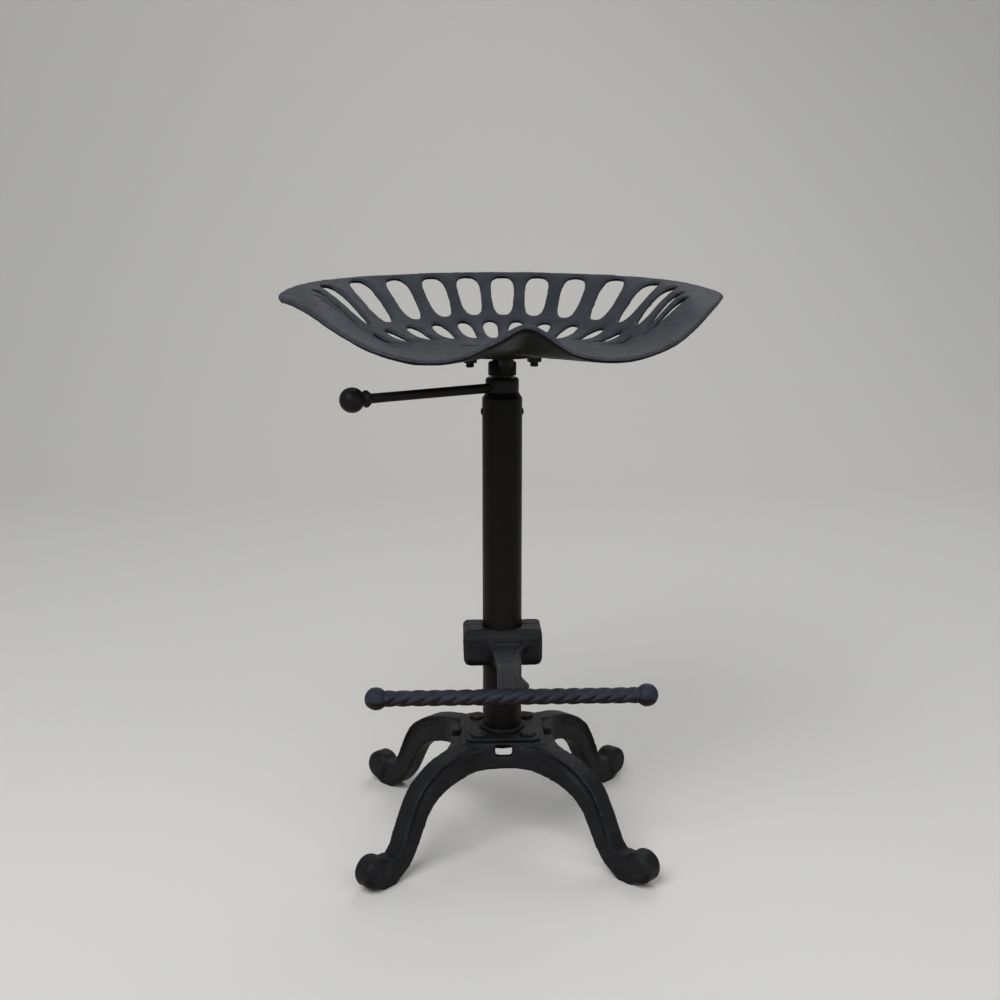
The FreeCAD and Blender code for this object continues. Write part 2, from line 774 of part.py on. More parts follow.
def seat_mounting():
    top = "boss_bottom + boss_height"
    plate_low = top + " + neck_height"
    hub = turned("seat_hub", [
        ("screw_radius", "boss_bottom"),
        ("boss_radius", "boss_bottom"),
        ("boss_radius", top + " - boss_chamfer"),
        ("boss_radius - boss_chamfer", top),
        ("neck_radius + neck_fillet", top),
        ("neck_radius", top + " + neck_fillet"),
        ("neck_radius", plate_low + " + plate_thickness"),
        ("0", plate_low + " + plate_thickness"),
        ("0", top + " - boss_cap"),
        ("screw_radius", top + " - boss_cap")])
    grub_hole = sketch_on(hub, "grub_hole", "YZ_Plane")
    circle(grub_hole, "grub_radius", "0", "boss_bottom + grub_height")
    pocket(hub, grub_hole, "boss_radius + 1", upward=True)
    to_rear = Rotation(Vector(0, 0, 1), 90 + value("seat_turn"))
    hub.Placement = Placement(Vector(0, 0, 0), to_rear)
    keep(hub, "seat_hub")
    inward = to_rear.multiply(Rotation(Vector(0, 1, 0), 90))
    start = inward.multVec(Vector(0, 0, value("screw_radius")))
    keep(cylinder("hub_grub_screw", "grub_radius", "boss_radius - screw_radius - grub_inset",
                  x=f"{start.x:.4f}", y=f"{start.y:.4f}", z="boss_bottom + grub_height",
                  turn=inward), "hub_grub_screw")

    turn = Rotation(Vector(0, 0, 1), value("seat_turn"))
    disc = turned("seat_plate", [
        ("neck_radius", plate_low),
        ("plate_radius", plate_low),
        ("plate_radius", plate_low + " + plate_thickness"),
        ("neck_radius", plate_low + " + plate_thickness")])
    holes = sketch_on(disc, "plate_holes", "XY_Plane")
    for sign in ("-", ""):
        circle(holes, "seat_hole_radius", x=sign + "seat_bolt_circle")
        circle(holes, "seat_hole_radius", y=sign + "seat_bolt_circle")
    pocket(disc, holes, upward=True)
    disc.Placement = Placement(Vector(0, 0, 0), turn)
    keep(disc, "seat_plate")

    bolts, washers, nuts = [], [], []
    head_seat = plate_low + " + plate_thickness + pan_thickness"
    for index in range(4):
        spot = Rotation(Vector(0, 0, 1), value("seat_turn") + 90 * index).multVec(
            Vector(value("seat_bolt_circle"), 0, 0))
        bolts.append(domed_bolt(index, head_seat, spot))
        pieces = (
            (washers, ring(f"seat_washer_{index}", "seat_washer_radius",
                           "seat_bolt_radius + seat_washer_gap", "seat_washer_thickness"),
             plate_low + " - seat_washer_thickness"),
            (nuts, nut(f"seat_nut_{index}", "seat_nut_circle", "seat_bolt_radius + nut_gap",
                       "seat_nut_height"), plate_low + " - seat_washer_thickness - seat_nut_height"))
        for kind, piece, height in pieces:
            piece.Placement = Placement(spot, Rotation(Vector(0, 0, 1), value("seat_turn")))
            bind(piece, Placement__Base__z=height)
            kind.append(piece)
    group("seat_bolts", bolts)
    group("seat_washers", washers)
    group("seat_nuts", nuts)


def domed_bolt(index, head_seat, spot):
    """Round-headed bolt: a cap of a sphere on a shank, drawn with its head's seat at zero."""
    head = value("seat_bolt_head")
    dome = value("seat_bolt_dome")
    ball_radius = (head ** 2 + dome ** 2) / (2 * dome)
    ball = doc.addObject("Part::Sphere", f"dome_ball_{index}")
    ball.Radius = ball_radius
    ball.Placement = Placement(Vector(0, 0, dome - ball_radius), Rotation())
    above = cylinder(f"dome_above_{index}", "seat_bolt_head + 1", "seat_bolt_dome + 1")
    cap = doc.addObject("Part::Common", f"dome_{index}")
    cap.Base = ball
    cap.Tool = above
    shank = cylinder(f"dome_shank_{index}", "seat_bolt_radius", "seat_bolt_length",
                     z="-seat_bolt_length")
    bolt = fused(f"seat_bolt_{index}", cap, shank)
    bolt.Placement = Placement(spot, Rotation())
    bind(bolt, Placement__Base__z=head_seat)
    return bolt


# Seat pan: a dish given by its rim and by how far out its wall starts and ends

# Half of the rim, front centre to back centre: across, back, up from the dish floor, and the
# fractions of the way out where the wall's foot and shoulder lie.
RIM = [
    (0, -139, 33, 0.32, 1.15),
    (28, -142, 19, 0.32, 1.15),
    (56, -154, 7, 0.35, 1.15),
    (92, -161.5, 5, 0.45, 1.15),
    (130, -150.5, 14, 0.50, 1.12),
    (160, -125, 28, 0.52, 1.05),
    (185, -93, 42, 0.52, 0.97),
    (203, -58, 49, 0.52, 0.90),
    (214, -22, 50, 0.52, 0.86),
    (214, 22, 52, 0.50, 0.89),
    (202, 68, 55, 0.47, 0.96),
    (176, 110, 58, 0.44, 1.08),
    (136, 140, 60, 0.42, 1.18),
    (90, 159, 61, 0.41, 1.23),
    (45, 169, 62, 0.40, 1.25),
    (0, 172, 62, 0.40, 1.25),
]
RIM_STEPS = 6

# Fractions of the way out where the pan's sections lie, from its flat middle to its rim
PAN_STEPS = [0.3, 0.36, 0.42, 0.49, 0.56, 0.64, 0.72, 0.79, 0.85, 0.9, 0.95, 1.0]

# Slots: how many on each side of the middle, then degrees from the back per slot and the
# fraction of the way out, both at the far end and at the near end.
OUTER_SLOTS = 8
OUTER_FAR_TURN, OUTER_NEAR_TURN = 13.4, 15
OUTER_FAR, OUTER_FAR_AT_SIDE = 0.965, 0.83
OUTER_NEAR, OUTER_NEAR_AT_SIDE = 0.685, 0.65
INNER_SLOTS = 6
INNER_TURN = 15.2
INNER_FAR, INNER_FAR_AT_SIDE = 0.645, 0.60
INNER_NEAR = 0.42


def rim_rows():
    """Rim all the way round, with steps between the given rows on a smooth curve."""
    mirrored = [(-row[0],) + row[1:] for row in RIM[-2:0:-1]]
    rows = RIM + mirrored
    count = len(rows)
    smooth = []
    for index in range(count):
        before, start, end, after = (rows[(index + shift) % count] for shift in (-1, 0, 1, 2))
        for step in range(RIM_STEPS):
            t = step / RIM_STEPS
            smooth.append([
                0.5 * (2 * b + (c - a) * t + (2 * a - 5 * b + 4 * c - d) * t ** 2
                       + (3 * b - a - 3 * c + d) * t ** 3)
                for a, b, c, d in zip(before, start, end, after)])
    return smooth


def ease(t):
    """Smooth step from 0 to 1."""
    t = min(max(t, 0.0), 1.0)
    return t * t * (3 - 2 * t)


def dish(row, out):
    """Point of the dish's upper face a fraction of the way out to a row of the rim."""
    across, back, up, foot, shoulder = row
    rise = ease((out - foot) / (shoulder - foot)) / ease((1 - foot) / (shoulder - foot))
    return Vector(across * out, back * out, up * rise)


def dish_normal(rows, index, out):
    """Upward normal of the dish at a row, from its neighbours in both directions."""
    small = 0.004
    ahead = rows[(index + 1) % len(rows)]
    behind = rows[index - 1]
    outward = dish(rows[index], out + small) - dish(rows[index], out - small)
    around = dish(ahead, out) - dish(behind, out)
    normal = outward.cross(around)
    return normal.normalize()


def row_at(rows, bearing):
    """Rim row in a direction, in radians from +X, blended between its neighbours."""
    count = len(rows)
    for index in range(count):
        start, end = rows[index], rows[(index + 1) % count]
        first = math.atan2(start[1], start[0])
        width = (math.atan2(end[1], end[0]) - first) % (2 * math.pi)
        offset = (bearing - first) % (2 * math.pi)
        if offset <= width:
            t = offset / width
            return [a * (1 - t) + b * t for a, b in zip(start, end)]
    raise RuntimeError("no rim row in that direction")


def slot_tool(rows, far_end, near_end, wide, narrow, squareness):
    """Tapered slot with rounded ends, as deep as the pan is thick and more.

    Each end is (bearing, fraction of the way out); the outline is a rounded box.
    """
    far, near = (dish(row_at(rows, bearing), out) for bearing, out in (far_end, near_end))
    between_ends = [(a + b) / 2 for a, b in zip(far_end, near_end)]
    centre = dish(row_at(rows, between_ends[0]), between_ends[1])
    beside = dish(row_at(rows, between_ends[0] + 0.01), between_ends[1])
    outward = (far - near).normalize()
    normal = outward.cross(beside - centre).normalize()
    aside = normal.cross(outward)
    reach = (far - near).Length / 2
    middle = (far + near + centre * 2) / 4
    points = []
    steps = 20
    for step in range(steps):
        angle = 2 * math.pi * (step + 0.5) / steps
        along, over = (math.copysign(abs(part) ** (2 / squareness), part)
                       for part in (math.cos(angle), math.sin(angle)))
        half_width = (wide + narrow) / 4 + along * (wide - narrow) / 4
        points.append(middle + outward * reach * along + aside * half_width * over)
    face = Part.Face(closed_curve(points))
    depth = 3 * value("pan_thickness")
    face.translate(normal * -depth)
    return face.extrude(normal * 2 * depth)


def slot_tools(rows):
    """All slots, from the back round both sides, and the holes for the four bolts."""
    back = math.pi / 2
    tools = []
    for index in range(2 * OUTER_SLOTS):
        place = index - OUTER_SLOTS + 0.5
        far_turn = math.radians(place * OUTER_FAR_TURN)
        near_turn = math.radians(place * OUTER_NEAR_TURN)
        to_side = ease((abs(math.degrees(far_turn)) - 50) / 40)
        far = OUTER_FAR + (OUTER_FAR_AT_SIDE - OUTER_FAR) * to_side
        near = OUTER_NEAR + (OUTER_NEAR_AT_SIDE - OUTER_NEAR) * math.sin(near_turn) ** 2
        tools.append(slot_tool(rows, (back + far_turn, far), (back + near_turn, near),
                               value("outer_slot_wide"), value("outer_slot_narrow"), 3))
    for index in range(2 * INNER_SLOTS + 1):
        turn = math.radians((index - INNER_SLOTS) * INNER_TURN)
        far = INNER_FAR + (INNER_FAR_AT_SIDE - INNER_FAR) * math.sin(turn) ** 2
        tools.append(slot_tool(rows, (back + turn, far), (back + turn, INNER_NEAR),
                               value("inner_slot_wide"), value("inner_slot_narrow"), 2.3))
    hole_radius = value("seat_hole_radius")
    for index in range(4):
        spot = Rotation(Vector(0, 0, 1), 90 * index).multVec(Vector(value("seat_bolt_circle"), 0, 0))
        depth = 2 * value("pan_thickness")
        tools.append(Part.makeCylinder(hole_radius, 2 * depth, spot - Vector(0, 0, depth)))
    return tools


def pan_solid():
    """Pan with slots: skins through the sections of both faces, closed by a rolled rim."""
    rows = rim_rows()
    thickness = value("pan_thickness")

    def section(out, depth, spread=0.0):
        points = []
        for index, row in enumerate(rows):
            normal = dish_normal(rows, index, out)
            outward = Vector(row[0], row[1], 0).normalize()
            sideways = (outward - normal * outward.dot(normal)).normalize()
            points.append(dish(row, out) - normal * depth + sideways * spread)
        return closed_curve(points)

    upper = [section(out, 0) for out in PAN_STEPS]
    lower = [section(out, thickness) for out in PAN_STEPS]
    rim = [upper[-1], section(1.0, thickness / 2, value("pan_bead")), lower[-1]]
    faces = [Part.Face(upper[0]), Part.Face(lower[0])]
    for wires in (upper, rim, lower):
        faces.extend(Part.makeLoft(wires, False, False).Faces)
    shell = Part.makeShell(faces)
    shell.sewShape()
    solid = Part.makeSolid(shell)
    if solid.Volume < 0:
        solid.reverse()
    return solid.cut(slot_tools(rows))


def seat_pan():
    pan = doc.addObject("Part::Feature", "seat_pan")
    pan.Shape = pan_solid()
    floor = "boss_bottom + boss_height + neck_height + plate_thickness + pan_thickness"
    pan.Placement = Placement(Vector(0, 0, 0), Rotation(Vector(0, 0, 1), value("seat_turn")))
    bind(pan, Placement__Base__z=floor)
    keep(pan, "seat_pan")


base_casting()
post_flange()
flange_fasteners()
post()
lock_lever()
footrest()
lift()
seat_mounting()
seat_pan()
doc.recompute()

failed = [item.Name for item in doc.Objects if {"Invalid", "Error"} & set(item.State)]
if failed:
    raise RuntimeError("failed objects: " + ", ".join(failed))
for item in nodes:
    if item.Shape.isNull() or not item.Shape.isValid():
        raise RuntimeError("bad shape: " + item.Label)
    item.Shape.exportStep(f"parts/{item.Label}.step")
    print(item.Label, len(item.Shape.Solids), round(item.Shape.Volume))
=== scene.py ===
import math

import bpy
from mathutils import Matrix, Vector


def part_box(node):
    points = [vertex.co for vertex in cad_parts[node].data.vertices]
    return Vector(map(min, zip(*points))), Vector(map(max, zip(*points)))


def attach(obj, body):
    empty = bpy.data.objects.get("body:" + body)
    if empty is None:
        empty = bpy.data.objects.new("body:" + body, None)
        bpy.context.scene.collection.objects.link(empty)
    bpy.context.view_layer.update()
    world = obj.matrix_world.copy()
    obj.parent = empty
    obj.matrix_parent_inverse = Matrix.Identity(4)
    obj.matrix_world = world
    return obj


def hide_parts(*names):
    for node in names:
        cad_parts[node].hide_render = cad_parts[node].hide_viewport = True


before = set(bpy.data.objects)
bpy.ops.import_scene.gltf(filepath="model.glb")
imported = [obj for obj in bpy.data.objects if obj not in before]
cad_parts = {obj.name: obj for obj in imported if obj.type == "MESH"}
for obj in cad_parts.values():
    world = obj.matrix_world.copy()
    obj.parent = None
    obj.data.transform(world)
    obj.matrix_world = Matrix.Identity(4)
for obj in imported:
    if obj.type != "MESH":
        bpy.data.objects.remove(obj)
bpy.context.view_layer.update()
bpy.ops.object.select_all(action="DESELECT")


# Base casting
# One iron casting: a square deck on a hollow skirt, four curved legs and their scroll feet.
# It comes out of a sand mould, so its edges are blunt. A shallow groove runs down both sides of
# each leg, beside its top face.

def only(*pieces):
    """Select just these objects, the last one active."""
    bpy.ops.object.select_all(action="DESELECT")
    for piece in pieces:
        piece.select_set(True)
    bpy.context.view_layer.objects.active = pieces[-1]


def newest(name):
    """Name the object that an operator has just added."""
    piece = bpy.context.object
    piece.name = piece.data.name = name
    return piece


def joined(name, *pieces):
    """One object of several, the last one kept."""
    only(*pieces)
    bpy.ops.object.join()
    return newest(name)


def settle(piece):
    """Put a piece's place and turn into its mesh."""
    only(piece)
    bpy.ops.object.transform_apply(location=True, rotation=True, scale=True)
    return piece


def work_on(piece, kind, **settings):
    """Add a modifier and apply it."""
    only(piece)
    modifier = piece.modifiers.new(kind.lower(), kind)
    for name, setting in settings.items():
        setattr(modifier, name, setting)
    bpy.ops.object.modifier_apply(modifier=modifier.name)


def cut_away(piece, waste, last=True):
    """Take the shape of the waste out of a piece, and drop the waste after its last cut."""
    work_on(piece, "BOOLEAN", operation="DIFFERENCE", object=waste, solver="EXACT")
    if last:
        bpy.data.objects.remove(waste)


def whole_copy(node, name):
    """Copy of a node with its loose triangles merged into one skin."""
    piece = bpy.data.objects.new(name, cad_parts[node].data.copy())
    bpy.context.collection.objects.link(piece)
    piece.data.materials.clear()
    only(piece)
    bpy.ops.mesh.customdata_custom_splitnormals_clear()
    bpy.ops.object.mode_set(mode="EDIT")
    bpy.ops.mesh.select_all(action="SELECT")
    bpy.ops.mesh.remove_doubles(threshold=0.00001)
    bpy.ops.object.mode_set(mode="OBJECT")
    return piece


def rounded_rod(name, points, radius):
    """Smooth round rod through points."""
    bpy.ops.curve.primitive_nurbs_path_add(location=(0, 0, 0))
    rod = newest(name)
    rod.data.splines.clear()
    spline = rod.data.splines.new("NURBS")
    spline.points.add(len(points) - 1)
    for spot, point in zip(spline.points, points):
        spot.co = (*point, 1)
    spline.order_u = 3
    spline.use_endpoint_u = True
    rod.data.bevel_depth = radius
    rod.data.bevel_resolution = 3
    rod.data.use_fill_caps = True
    only(rod)
    bpy.ops.object.convert(target="MESH")
    return newest(name)


def waver(piece, wave, wave_size):
    """Let the faces of a piece wander a little, as cast ones do."""
    ripple = bpy.data.textures.new(piece.name + "_ripple", "CLOUDS")
    ripple.noise_scale = wave_size
    work_on(piece, "DISPLACE", texture=ripple, strength=wave, mid_level=0.5, texture_coords="LOCAL")


def sand_cast(piece, grain, rounds, wave, wave_size):
    """Blunt every edge as a mould does, and let the faces waver."""
    work_on(piece, "REMESH", mode="VOXEL", voxel_size=grain)
    work_on(piece, "SMOOTH", factor=0.5, iterations=rounds)
    waver(piece, wave, wave_size)
    only(piece)
    bpy.ops.object.shade_smooth()


LEG_HALF_WIDTH = 0.010
GROOVE_RADIUS = 0.0045
# the groove down a leg, as (distance from the post, height, depth)
GROOVE_LINE = [(0.0720, 0.1026, 0.0002), (0.0800, 0.1014, 0.0022), (0.0915, 0.0983, 0.0034),
               (0.1020, 0.0945, 0.0036), (0.1112, 0.0893, 0.0036), (0.1200, 0.0826, 0.0036),
               (0.1266, 0.0758, 0.0036), (0.1320, 0.0670, 0.0036), (0.1369, 0.0577, 0.0036),
               (0.1416, 0.0473, 0.0034), (0.1456, 0.0385, 0.0024), (0.1492, 0.0310, 0.0002)]

base = whole_copy("base_casting", "base_casting_iron")
grooves = []
for quarter in range(4):
    bearing = math.radians(45 + 90 * quarter)
    out = Vector((math.cos(bearing), math.sin(bearing), 0))
    aside = Vector((-math.sin(bearing), math.cos(bearing), 0))
    for side in (-1, 1):
        line = [out * reach + Vector((0, 0, height))
                + aside * side * (LEG_HALF_WIDTH + GROOVE_RADIUS - depth)
                for reach, height, depth in GROOVE_LINE]
        grooves.append(rounded_rod("groove", line, GROOVE_RADIUS))
cut_away(base, joined("groove_cutter", *grooves))
sand_cast(base, grain=0.00125, rounds=9, wave=0.0010, wave_size=0.010)


def node_for(material, kind, **inputs):
    """Add a shader node, with its inputs set to numbers or linked to other nodes' outputs."""
    node = material.node_tree.nodes.new("ShaderNode" + kind)
    for name, given in inputs.items():
        socket = node.inputs[name.replace("_", " ").title()]
        if isinstance(given, bpy.types.NodeSocket):
            material.node_tree.links.new(given, socket)
        else:
            socket.default_value = given
    return node


def between(material, amount, first, second):
    """Colour that goes from the first to the second as the amount goes from 0 to 1."""
    node = material.node_tree.nodes.new("ShaderNodeMix")
    node.data_type = "RGBA"
    for socket, given in ((node.inputs[0], amount), (node.inputs[6], first), (node.inputs[7], second)):
        if isinstance(given, bpy.types.NodeSocket):
            material.node_tree.links.new(given, socket)
        elif isinstance(given, tuple):
            socket.default_value = (*given, 1)
        else:
            socket.default_value = given
    return node.outputs[2]


def stepped(material, source, low, high):
    """0 below low and 1 above high."""
    node = node_for(material, "MapRange", Value=source, From_Min=low, From_Max=high)
    node.interpolation_type = "SMOOTHSTEP"
    return node.outputs["Result"]


def new_finish(name):
    """A blank material, its shader, and the place on the piece that its patterns follow."""
    material = bpy.data.materials.new(name)
    material.use_nodes = True
    shader = material.node_tree.nodes["Principled BSDF"]
    return material, shader, node_for(material, "TexCoord").outputs["Object"]


def iron(name, body, patch, painted_shade, worn, grain_size=0.0011, roughness=(0.42, 0.62), bump=0.00022,
         shine=0.15):
    """Painted cast iron: mottled body, edges rubbed lighter, sand grain.

    Painted shade: the hollows and what faces the floor are darkened towards a dark brown.
    The shine is the strength of its reflections.
    """
    material, shader, place = new_finish(name)
    cloud = node_for(material, "TexNoise", Vector=place, Scale=38, Detail=5, Roughness=0.6)
    fleck = node_for(material, "TexNoise", Vector=place, Scale=260, Detail=3, Roughness=0.7)
    sand = node_for(material, "TexNoise", Vector=place, Scale=1 / grain_size, Detail=2)
    surface = node_for(material, "NewGeometry")
    shape = surface.outputs["Pointiness"]
    facing = node_for(material, "SeparateXYZ", Vector=surface.outputs["Normal"]).outputs["Z"]
    colour = between(material, stepped(material, cloud.outputs["Fac"], 0.38, 0.64), body, patch)
    # painted shade: the hollows and creases are darkened towards the shade colour
    hollow = stepped(material, shape, 0.5, 0.44)
    colour = between(material, hollow, colour, painted_shade)
    edge = stepped(material, shape, 0.515, 0.57)
    rubbed = node_for(material, "Math", Value=edge)
    rubbed.operation = "MULTIPLY"
    material.node_tree.links.new(stepped(material, fleck.outputs["Fac"], 0.35, 0.6), rubbed.inputs[1])
    colour = between(material, rubbed.outputs["Value"], colour, worn)
    # painted shade: faces that turn to the floor are darkened towards the shade colour
    colour = between(material, stepped(material, facing, 0.06, -0.18), colour, painted_shade)
    material.node_tree.links.new(colour, shader.inputs["Base Color"])
    shader.inputs["Specular IOR Level"].default_value = shine
    gloss = node_for(material, "MapRange", Value=fleck.outputs["Fac"], From_Min=0.3, From_Max=0.7,
                     To_Min=roughness[0], To_Max=roughness[1])
    material.node_tree.links.new(gloss.outputs["Result"], shader.inputs["Roughness"])
    waves = node_for(material, "Bump", Height=fleck.outputs["Fac"], Strength=0.5, Distance=bump * 2)
    grain = node_for(material, "Bump", Height=sand.outputs["Fac"], Strength=0.6, Distance=bump,
                     Normal=waves.outputs["Normal"])
    material.node_tree.links.new(grain.outputs["Normal"], shader.inputs["Normal"])
    return material


def fit_out(piece, material, body, slot, *nodes):
    """Give a finished piece its material and its body, and hide the nodes that it stands for."""
    settle(piece)
    piece.data.materials.clear()
    piece.data.materials.append(material)
    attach(piece, body)
    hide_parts(*nodes)


# the base's colours: its paint's body and patches, the painted shade in its hollows and under it, and
# its rubbed edges
BASE_TONES = [(0.0120, 0.0128, 0.0150), (0.0080, 0.0084, 0.0096), (0.0034, 0.0024, 0.0020),
              (0.034, 0.037, 0.044)]
base_iron = iron("base_iron", *BASE_TONES)
fit_out(base, base_iron, "stand", "base_iron", "base_casting")


# Post flange
# A square steel plate with rounded corners, welded to the post and bolted on the deck.
# Its edges are ground slightly round and its paint is the base's.

def bevelled_block(name, low, high, corner, edge):
    """Box between two corners, its upright edges rounded by one radius and the rest by another."""
    bpy.ops.mesh.primitive_cube_add(size=1, location=(low + high) / 2)
    block = newest(name)
    block.scale = high - low
    settle(block)
    bpy.ops.object.mode_set(mode="EDIT")
    bpy.ops.mesh.select_mode(type="EDGE")
    bpy.ops.mesh.select_all(action="DESELECT")
    bpy.ops.object.mode_set(mode="OBJECT")
    for line in block.data.edges:
        ends = [block.data.vertices[index].co for index in line.vertices]
        line.select = abs(ends[0].z - ends[1].z) > 0.0001
    bpy.ops.object.mode_set(mode="EDIT")
    bpy.ops.mesh.bevel(offset=corner, segments=8, affect="EDGES")
    bpy.ops.object.mode_set(mode="OBJECT")
    work_on(block, "BEVEL", width=edge, segments=3, limit_method="ANGLE", angle_limit=math.radians(40))
    only(block)
    bpy.ops.object.shade_smooth_by_angle(angle=math.radians(40))
    return block


flange = bevelled_block("post_flange_plate", *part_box("post_flange"), corner=0.006, edge=0.0009)
fit_out(flange, base_iron, "stand", "base_iron", "post_flange")


# Flange bolts, washers and nuts
# Four low hexagon bolts hold the flange on the deck, with washers and nuts below it.
# The front heads are painted over with the base; the rear ones have gone rust brown.

# the chamfer of a hexagon's two ends, as parts of its circle: how far in and how far out
CHAMFER_IN, CHAMFER_OUT = 0.11, 0.05
# the height that is left free for that chamfer
CROWN_ROOM = 0.0004


def hexagon_block(name, circle, low, high, edge):
    """Hexagon between two heights on the Z axis, with chamfered ends and softened edges."""
    middle = (0, 0, (low + high) / 2)
    bpy.ops.mesh.primitive_cylinder_add(vertices=6, radius=circle, depth=high - low, location=middle)
    block = settle(newest(name))
    bpy.ops.object.mode_set(mode="EDIT")
    bpy.ops.mesh.select_mode(type="FACE")
    bpy.ops.mesh.select_all(action="DESELECT")
    bpy.ops.object.mode_set(mode="OBJECT")
    for face in block.data.polygons:
        face.select = abs(face.normal.z) > 0.9
    bpy.ops.object.mode_set(mode="EDIT")
    bpy.ops.mesh.inset(thickness=circle * CHAMFER_IN)
    bpy.ops.transform.resize(value=(1, 1, 1 + 2 * circle * CHAMFER_OUT / (high - low)),
                             center_override=middle)
    bpy.ops.object.mode_set(mode="OBJECT")
    work_on(block, "BEVEL", width=edge, segments=2, limit_method="ANGLE", angle_limit=math.radians(20))
    return block


def turned(name, profile, sides=48, hollow=False):
    """Round piece on the Z axis: a circle drawn out ring by ring through (radius, height)."""
    radius, height = profile[0]
    bpy.ops.mesh.primitive_circle_add(vertices=sides, radius=radius, location=(0, 0, height))
    piece = settle(newest(name))
    bpy.ops.object.mode_set(mode="EDIT")
    bpy.ops.mesh.select_mode(type="VERT")
    bpy.ops.mesh.select_all(action="SELECT")
    for next_radius, next_height in profile[1:]:
        bpy.ops.mesh.extrude_region_move(
            TRANSFORM_OT_translate={"value": (0, 0, next_height - height)})
        grow = next_radius / radius
        bpy.ops.transform.resize(value=(grow, grow, 1), center_override=(0, 0, next_height))
        radius, height = next_radius, next_height
    bpy.ops.mesh.select_all(action="DESELECT")
    bpy.ops.mesh.select_non_manifold()
    if hollow:
        bpy.ops.mesh.bridge_edge_loops()
    else:
        bpy.ops.mesh.fill_holes(sides=0)
    bpy.ops.mesh.select_all(action="SELECT")
    bpy.ops.mesh.normals_make_consistent(inside=False)
    bpy.ops.object.mode_set(mode="OBJECT")
    only(piece)
    bpy.ops.object.shade_smooth_by_angle(angle=math.radians(35))
    return piece


def copies_at(name, piece, spots, turns=None):
    """The piece and its copies at several spots, joined into one object."""
    placed = []
    for index, spot in enumerate(spots):
        twin = bpy.data.objects.new(name, piece.data.copy())
        bpy.context.collection.objects.link(twin)
        twin.location = spot
        if turns:
            twin.rotation_euler = (0, 0, turns[index])
        placed.append(twin)
    bpy.data.objects.remove(piece)
    return settle(joined(name, *placed))


FLANGE_BOLT_SQUARE = 0.025
FLANGE_BOLT_SPOTS = [(x * FLANGE_BOLT_SQUARE, y * FLANGE_BOLT_SQUARE, 0)
                     for x in (-1, 1) for y in (-1, 1)]
FLANGE_HEXAGON = 0.0092
FLANGE_SHANK = 0.005
FLANGE_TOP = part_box("post_flange")[1].z
flange_bolt_low, flange_bolt_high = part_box("flange_bolts")
BOLT_END = flange_bolt_low.z
head = hexagon_block("bolt_head", FLANGE_HEXAGON, FLANGE_TOP, flange_bolt_high.z - CROWN_ROOM, 0.0006)
shank = turned("bolt_shank", [(0.0042, BOLT_END), (FLANGE_SHANK, BOLT_END + 0.001),
                              (FLANGE_SHANK, FLANGE_TOP + 0.001)])
flange_bolt = joined("flange_bolt", shank, head)
flange_bolts = copies_at("flange_bolts_blackened", flange_bolt, FLANGE_BOLT_SPOTS,
                         [0.2, 0.9, 0.5, 1.3])

rusty_black = iron("rusty_black", (0.011, 0.0070, 0.0055), (0.0070, 0.0058, 0.0052),
                   (0.004, 0.003, 0.0025), (0.030, 0.020, 0.015),
                   grain_size=0.0006, roughness=(0.5, 0.75), bump=0.00015)
fit_out(flange_bolts, rusty_black, "stand", "dark_steel", "flange_bolts")
flange_bolts.data.materials.append(base_iron)
for face in flange_bolts.data.polygons:
    face.material_index = 1 if face.center.y < 0 else 0

flange_nut_low, flange_nut_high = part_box("flange_nuts")
flange_nut = hexagon_block("flange_nut", FLANGE_HEXAGON, flange_nut_low.z + CROWN_ROOM,
                           flange_nut_high.z - CROWN_ROOM, 0.0004)
flange_nuts = copies_at("flange_nuts_blackened", flange_nut, FLANGE_BOLT_SPOTS, [0.1, 0.6, 1.1, 0.4])
fit_out(flange_nuts, rusty_black, "stand", "dark_steel", "flange_nuts")
WASHER_LOW = flange_nut_high.z
WASHER_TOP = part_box("flange_washers")[1].z
flange_washer = turned("flange_washer", [
    (0.0055, WASHER_LOW), (0.0092, WASHER_LOW), (0.0096, WASHER_LOW + 0.0005),
    (0.0096, WASHER_TOP), (0.0055, WASHER_TOP)], hollow=True)
flange_washers = copies_at("flange_washers_blackened", flange_washer, FLANGE_BOLT_SPOTS)
fit_out(flange_washers, rusty_black, "stand", "dark_steel", "flange_washers")


# Post tube and the threaded bush in its top
# Round steel tube, sprayed brown-black; faint drawn lines run along it.
# The bush is pressed in, and its cone shows between the tube and the lock nut.

def post_finish():
    """Thin sprayed paint over drawn tube."""
    material, shader, place = new_finish("post_paint")
    stretch = node_for(material, "Mapping", Vector=place, Scale=(1, 1, 0.06)).outputs["Vector"]
    drawn = node_for(material, "TexNoise", Vector=stretch, Scale=420, Detail=3)
    cloud = node_for(material, "TexNoise", Vector=place, Scale=24, Detail=4, Roughness=0.6)
    speck = node_for(material, "TexNoise", Vector=place, Scale=1100, Detail=2)
    colour = between(material, stepped(material, cloud.outputs["Fac"], 0.4, 0.65),
                     (0.0040, 0.0035, 0.0030), (0.0062, 0.0046, 0.0037))
    material.node_tree.links.new(colour, shader.inputs["Base Color"])
    shader.inputs["Specular IOR Level"].default_value = 0.12
    gloss = node_for(material, "MapRange", Value=cloud.outputs["Fac"], From_Min=0.3, From_Max=0.7,
                     To_Min=0.36, To_Max=0.5)
    material.node_tree.links.new(gloss.outputs["Result"], shader.inputs["Roughness"])
    lines = node_for(material, "Bump", Height=drawn.outputs["Fac"], Strength=0.25, Distance=0.0002)
    spray = node_for(material, "Bump", Height=speck.outputs["Fac"], Strength=0.3, Distance=0.0001,
                     Normal=lines.outputs["Normal"])
    material.node_tree.links.new(spray.outputs["Normal"], shader.inputs["Normal"])
    return material


def repaint(node, material):
    """Finish a node that keeps its own shape."""
    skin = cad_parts[node].data.materials
    skin.clear()
    skin.append(material)


post_paint = post_finish()
for node in ("post_tube", "post_nut"):
    repaint(node, post_paint)


